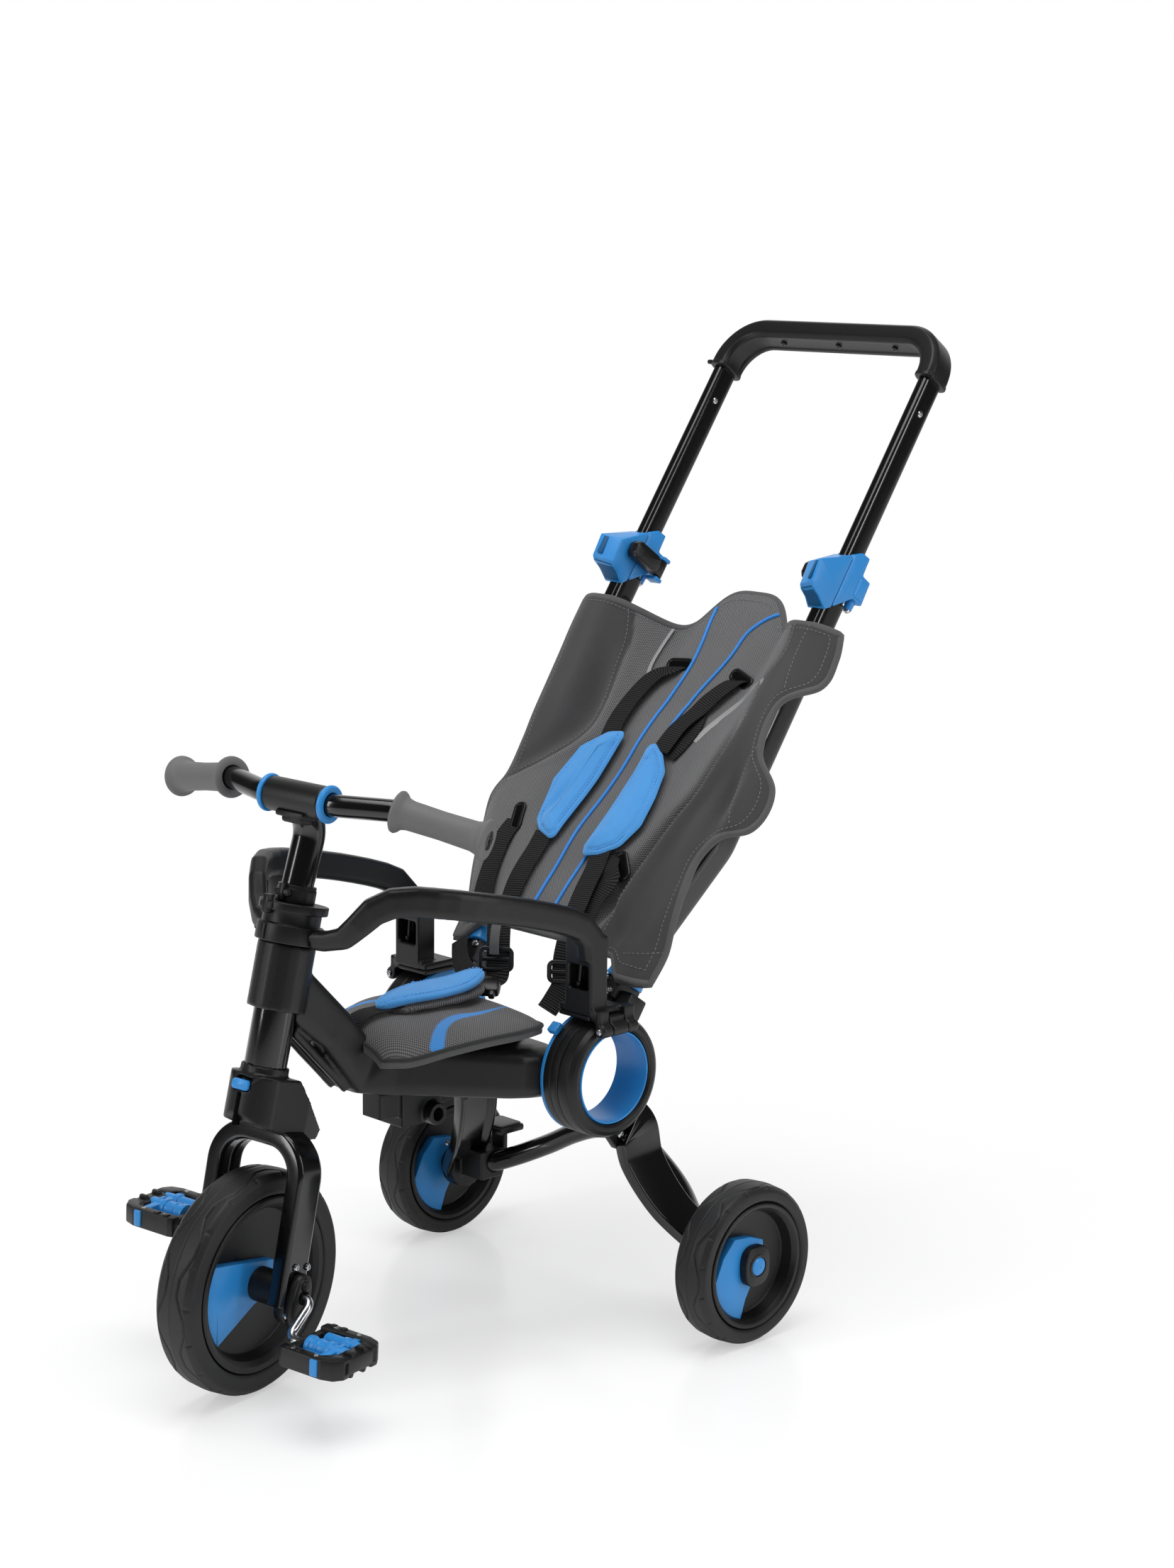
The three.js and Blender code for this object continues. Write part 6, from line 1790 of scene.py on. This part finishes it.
def swept(path, halves, thick, power, sides=48):
    """A pad along a path in the plane of the seat: an oval whose half width changes, closed to a
    point at each end."""
    section = oval_section(1.0, 1.0, power, sides)
    slope = np.gradient(path, axis=0)
    slope /= np.linalg.norm(slope, axis=1)[:, None]
    lift = np.cross(slope, (-1.0, 0, 0))
    share = np.sqrt(np.clip(1 - np.abs(np.linspace(-1, 1, len(path))) ** 14, 0, 1))
    across = (
        section[None, :, :1] * halves[:, None, None] * share[:, None, None] * np.array([1.0, 0, 0])
    )
    deep = section[None, :, 1:] * (thick * share)[:, None, None] * lift[:, None]
    return path[:, None] + across + deep


def cloth_of(grid):
    """The plane across and along a swept pad."""
    return weave(grid[..., 0], grid[..., 1], 1.0).reshape(-1, 3)


top_grid = swept(crotch_path, leaf_half, 5.4 + 0 * t, 0.72)
sewn_half = leaf_half - BORDER
above = top_grid[..., 2] > crotch_path[:, None, 2]
top_grid[..., 2] -= 0.9 * bell(np.abs(top_grid[..., 0]) - sewn_half[:, None], 1.4) * above
crotch = piece(
    "crotch_top", surface(top_grid, closed_columns=True), GROUND, blue_cloth, "frame", "crotch_pad",
    smooth=80, cloth=cloth_of(top_grid)
)
side_run = np.stack([sewn_half, crotch_path[:, 1], crotch_path[:, 2] + 4.6], 1)[4:-4]
ring = np.concatenate([side_run, side_run[::-1] * [-1, 1, 1]])
crotch_threads = stitches(evenly(ring, 300, closed=True), (0, 0, 1), *PAD_STITCH)
piece("crotch_stitches", crotch_threads, GROUND, thread_blue, "frame")
LOBE_RUN = [[0, -168, 347.5], [0, -140, 349.5], [0, -106, 349.8], [0, -70, 349.5], [0, -46, 352]]
lobe_path = routed(LOBE_RUN, 200, 110)
u = np.linspace(0, 1, 110)
lobe_half = CROTCH_HALF * np.sqrt(np.clip(np.sin(math.pi * (0.08 + 0.84 * u)), 0, 1))
lobe_thick = (5.6 + 1.4 * np.sin(u * math.pi * 4.2) ** 2) * (0.7 + 0.3 * u)
lobe_grid = swept(lobe_path, lobe_half, lobe_thick, 0.8)
lobe = piece(
    "crotch_lobes", surface(lobe_grid, closed_columns=True), GROUND, cushion_cloth, "frame",
    smooth=80, cloth=cloth_of(lobe_grid)
)
front_strap = [
    (0, -150, 352), (0, -176, 350.5), (0, -196, 350), (0, -211, 345), (0, -219.5, 334),
    (0, -221, 318), (0, -219, 306)
]
ribbon("crotch_strap", front_strap, (1, 0, 0), "frame", GROUND)

# %% Buckles and hanging straps
FACING, BUCKLE_TILT = turn_z(math.radians(38)), turn_x(math.radians(28))


def adjuster(name, at, wide, tall):
    """A slide for webbing: a rounded frame and a middle bar, turned to where it is seen from."""
    ring = hoop(soft_loop(oblong(wide / 2, tall / 2), 5, 5, 80), oval_section(2.0, 2.4, 0.7, 14))
    middle = tube(
        evenly([[-wide / 2 + 1, 0, 0], [wide / 2 - 1, 0, 0]], 12), 2.4, 1.8, (0, 0, 1), sides=14
    )
    piece(name, shifted(merged(ring, middle), at, FACING), GROUND, nylon, "frame", smooth=60)


hang = [
    (-24, 8, 430), (-20, -1, 412), (-12, -10, 394), (-8, -14, 378), (-6, -16, 366), (-4, -20, 355),
    (-4, -30, 350)
]
ribbon("harness_strap", hang, (0.9, 0.45, 0), "frame", GROUND)
adjuster("harness_slide", (-7, -18, 373), 32, 22)
tail = [(-10, -14, 412), (-4, -22, 402), (-2, -25, 392), (-2, -25, 380)]
ribbon("harness_tail", tail, (0.9, 0.45, 0), "frame", GROUND, 5, binding_cloth, 0.5, 60)
prongs = [block([x, -16, -4], [x + 7, 2, 4], 2.4) for x in (-13, 6)]
buckle = merged(
    block([-17, -11, -6], [17, 9, 6], 4), *prongs, block([-9, 6, -3.5], [9, 15, 3.5], 2.5)
)
piece(
    "crotch_buckle", shifted(buckle, (-3, -38, 349), FACING @ BUCKLE_TILT), GROUND, nylon, "frame"
)
far_waist = [(-98, 14, 372), (-84, 2, 358), (-62, -10, 349), (-38, -20, 347), (-14, -32, 349)]
near_waist = [
    (62, 16, 398), (62, 12, 384), (62, 10, 370), (63, 9, 356), (60, 0, 340), (58, -8, 330)
]
ribbon("far_waist_strap", far_waist, (0.3, 0.5, 0.8), "frame", GROUND, WAIST_HALF)
ribbon("near_waist_strap", near_waist, (0.8, 0.6, 0), "frame", GROUND, WAIST_HALF)
adjuster("near_slide", (62, 9, 368), 26, 20)
print("cushion, crotch pad and buckles made")

# %% [markdown]
# The floor is a wide sheet that runs on past the picture. Near the tricycle it is glossy paper, so
# that it takes the shadow and a faint mirror image, and further off the camera sees plain white.

# %% Floor, and finishes of the kept solids
FLOOR_HALF, FLOOR_GLOSS = 6, 0.2
FADE_STARTS, FADE_FULL, FADE_LEAST = 0.42, 0.95, 0.45


def studio_floor(paper):
    """The paper's own shader mixed with plain white, for the camera alone, by a share that grows
    with the distance."""
    tree = paper.node_tree
    shader = next(n for n in tree.nodes if n.type == "BSDF_PRINCIPLED")
    shader.inputs["Roughness"].default_value = FLOOR_GLOSS
    tree.links.remove(shader.inputs["Roughness"].links[0])
    place = node(tree, "ShaderNodeTexCoord").outputs["Object"]
    reach = node(tree, "ShaderNodeVectorMath", {0: place}, operation="LENGTH").outputs["Value"]
    ends = {"From Min": FADE_STARTS, "From Max": FADE_FULL}
    share = node(
        tree, "ShaderNodeMapRange", {"Value": reach, **ends}, interpolation_type="SMOOTHSTEP"
    )
    least = node(tree, "ShaderNodeMapRange", {"Value": share.outputs[0], "To Min": FADE_LEAST})
    rays = node(tree, "ShaderNodeLightPath").outputs["Is Camera Ray"]
    seen = node(tree, "ShaderNodeMath", {0: least.outputs[0], 1: rays}, operation="MULTIPLY")
    white = node(tree, "ShaderNodeEmission", Color=(1, 1, 1, 1), Strength=1.0)
    faded = node(
        tree, "ShaderNodeMixShader", {0: seen.outputs[0], 1: shader.outputs[0], 2: white.outputs[0]}
    )
    final = next(n for n in tree.nodes if n.type == "OUTPUT_MATERIAL")
    tree.links.new(faded.outputs[0], final.inputs["Surface"])
    return paper


sheet = bpy.data.meshes.new("studio_floor")
corners = [(x, y, 0) for x, y in oblong(FLOOR_HALF, FLOOR_HALF)]
sheet.from_pydata(corners, [], [(0, 1, 2, 3)])
floor = placed("studio_floor", sheet)
floor.data.materials.append(studio_floor(floor_white))
slots = {part["node"]: part["material_slot"] for part in frame["record"]["subparts"]}
for name, kept in frame["nodes"].items():
    kept.data.materials.clear()
    kept.data.materials.append(SLOT_FINISHES[slots[name]][0])
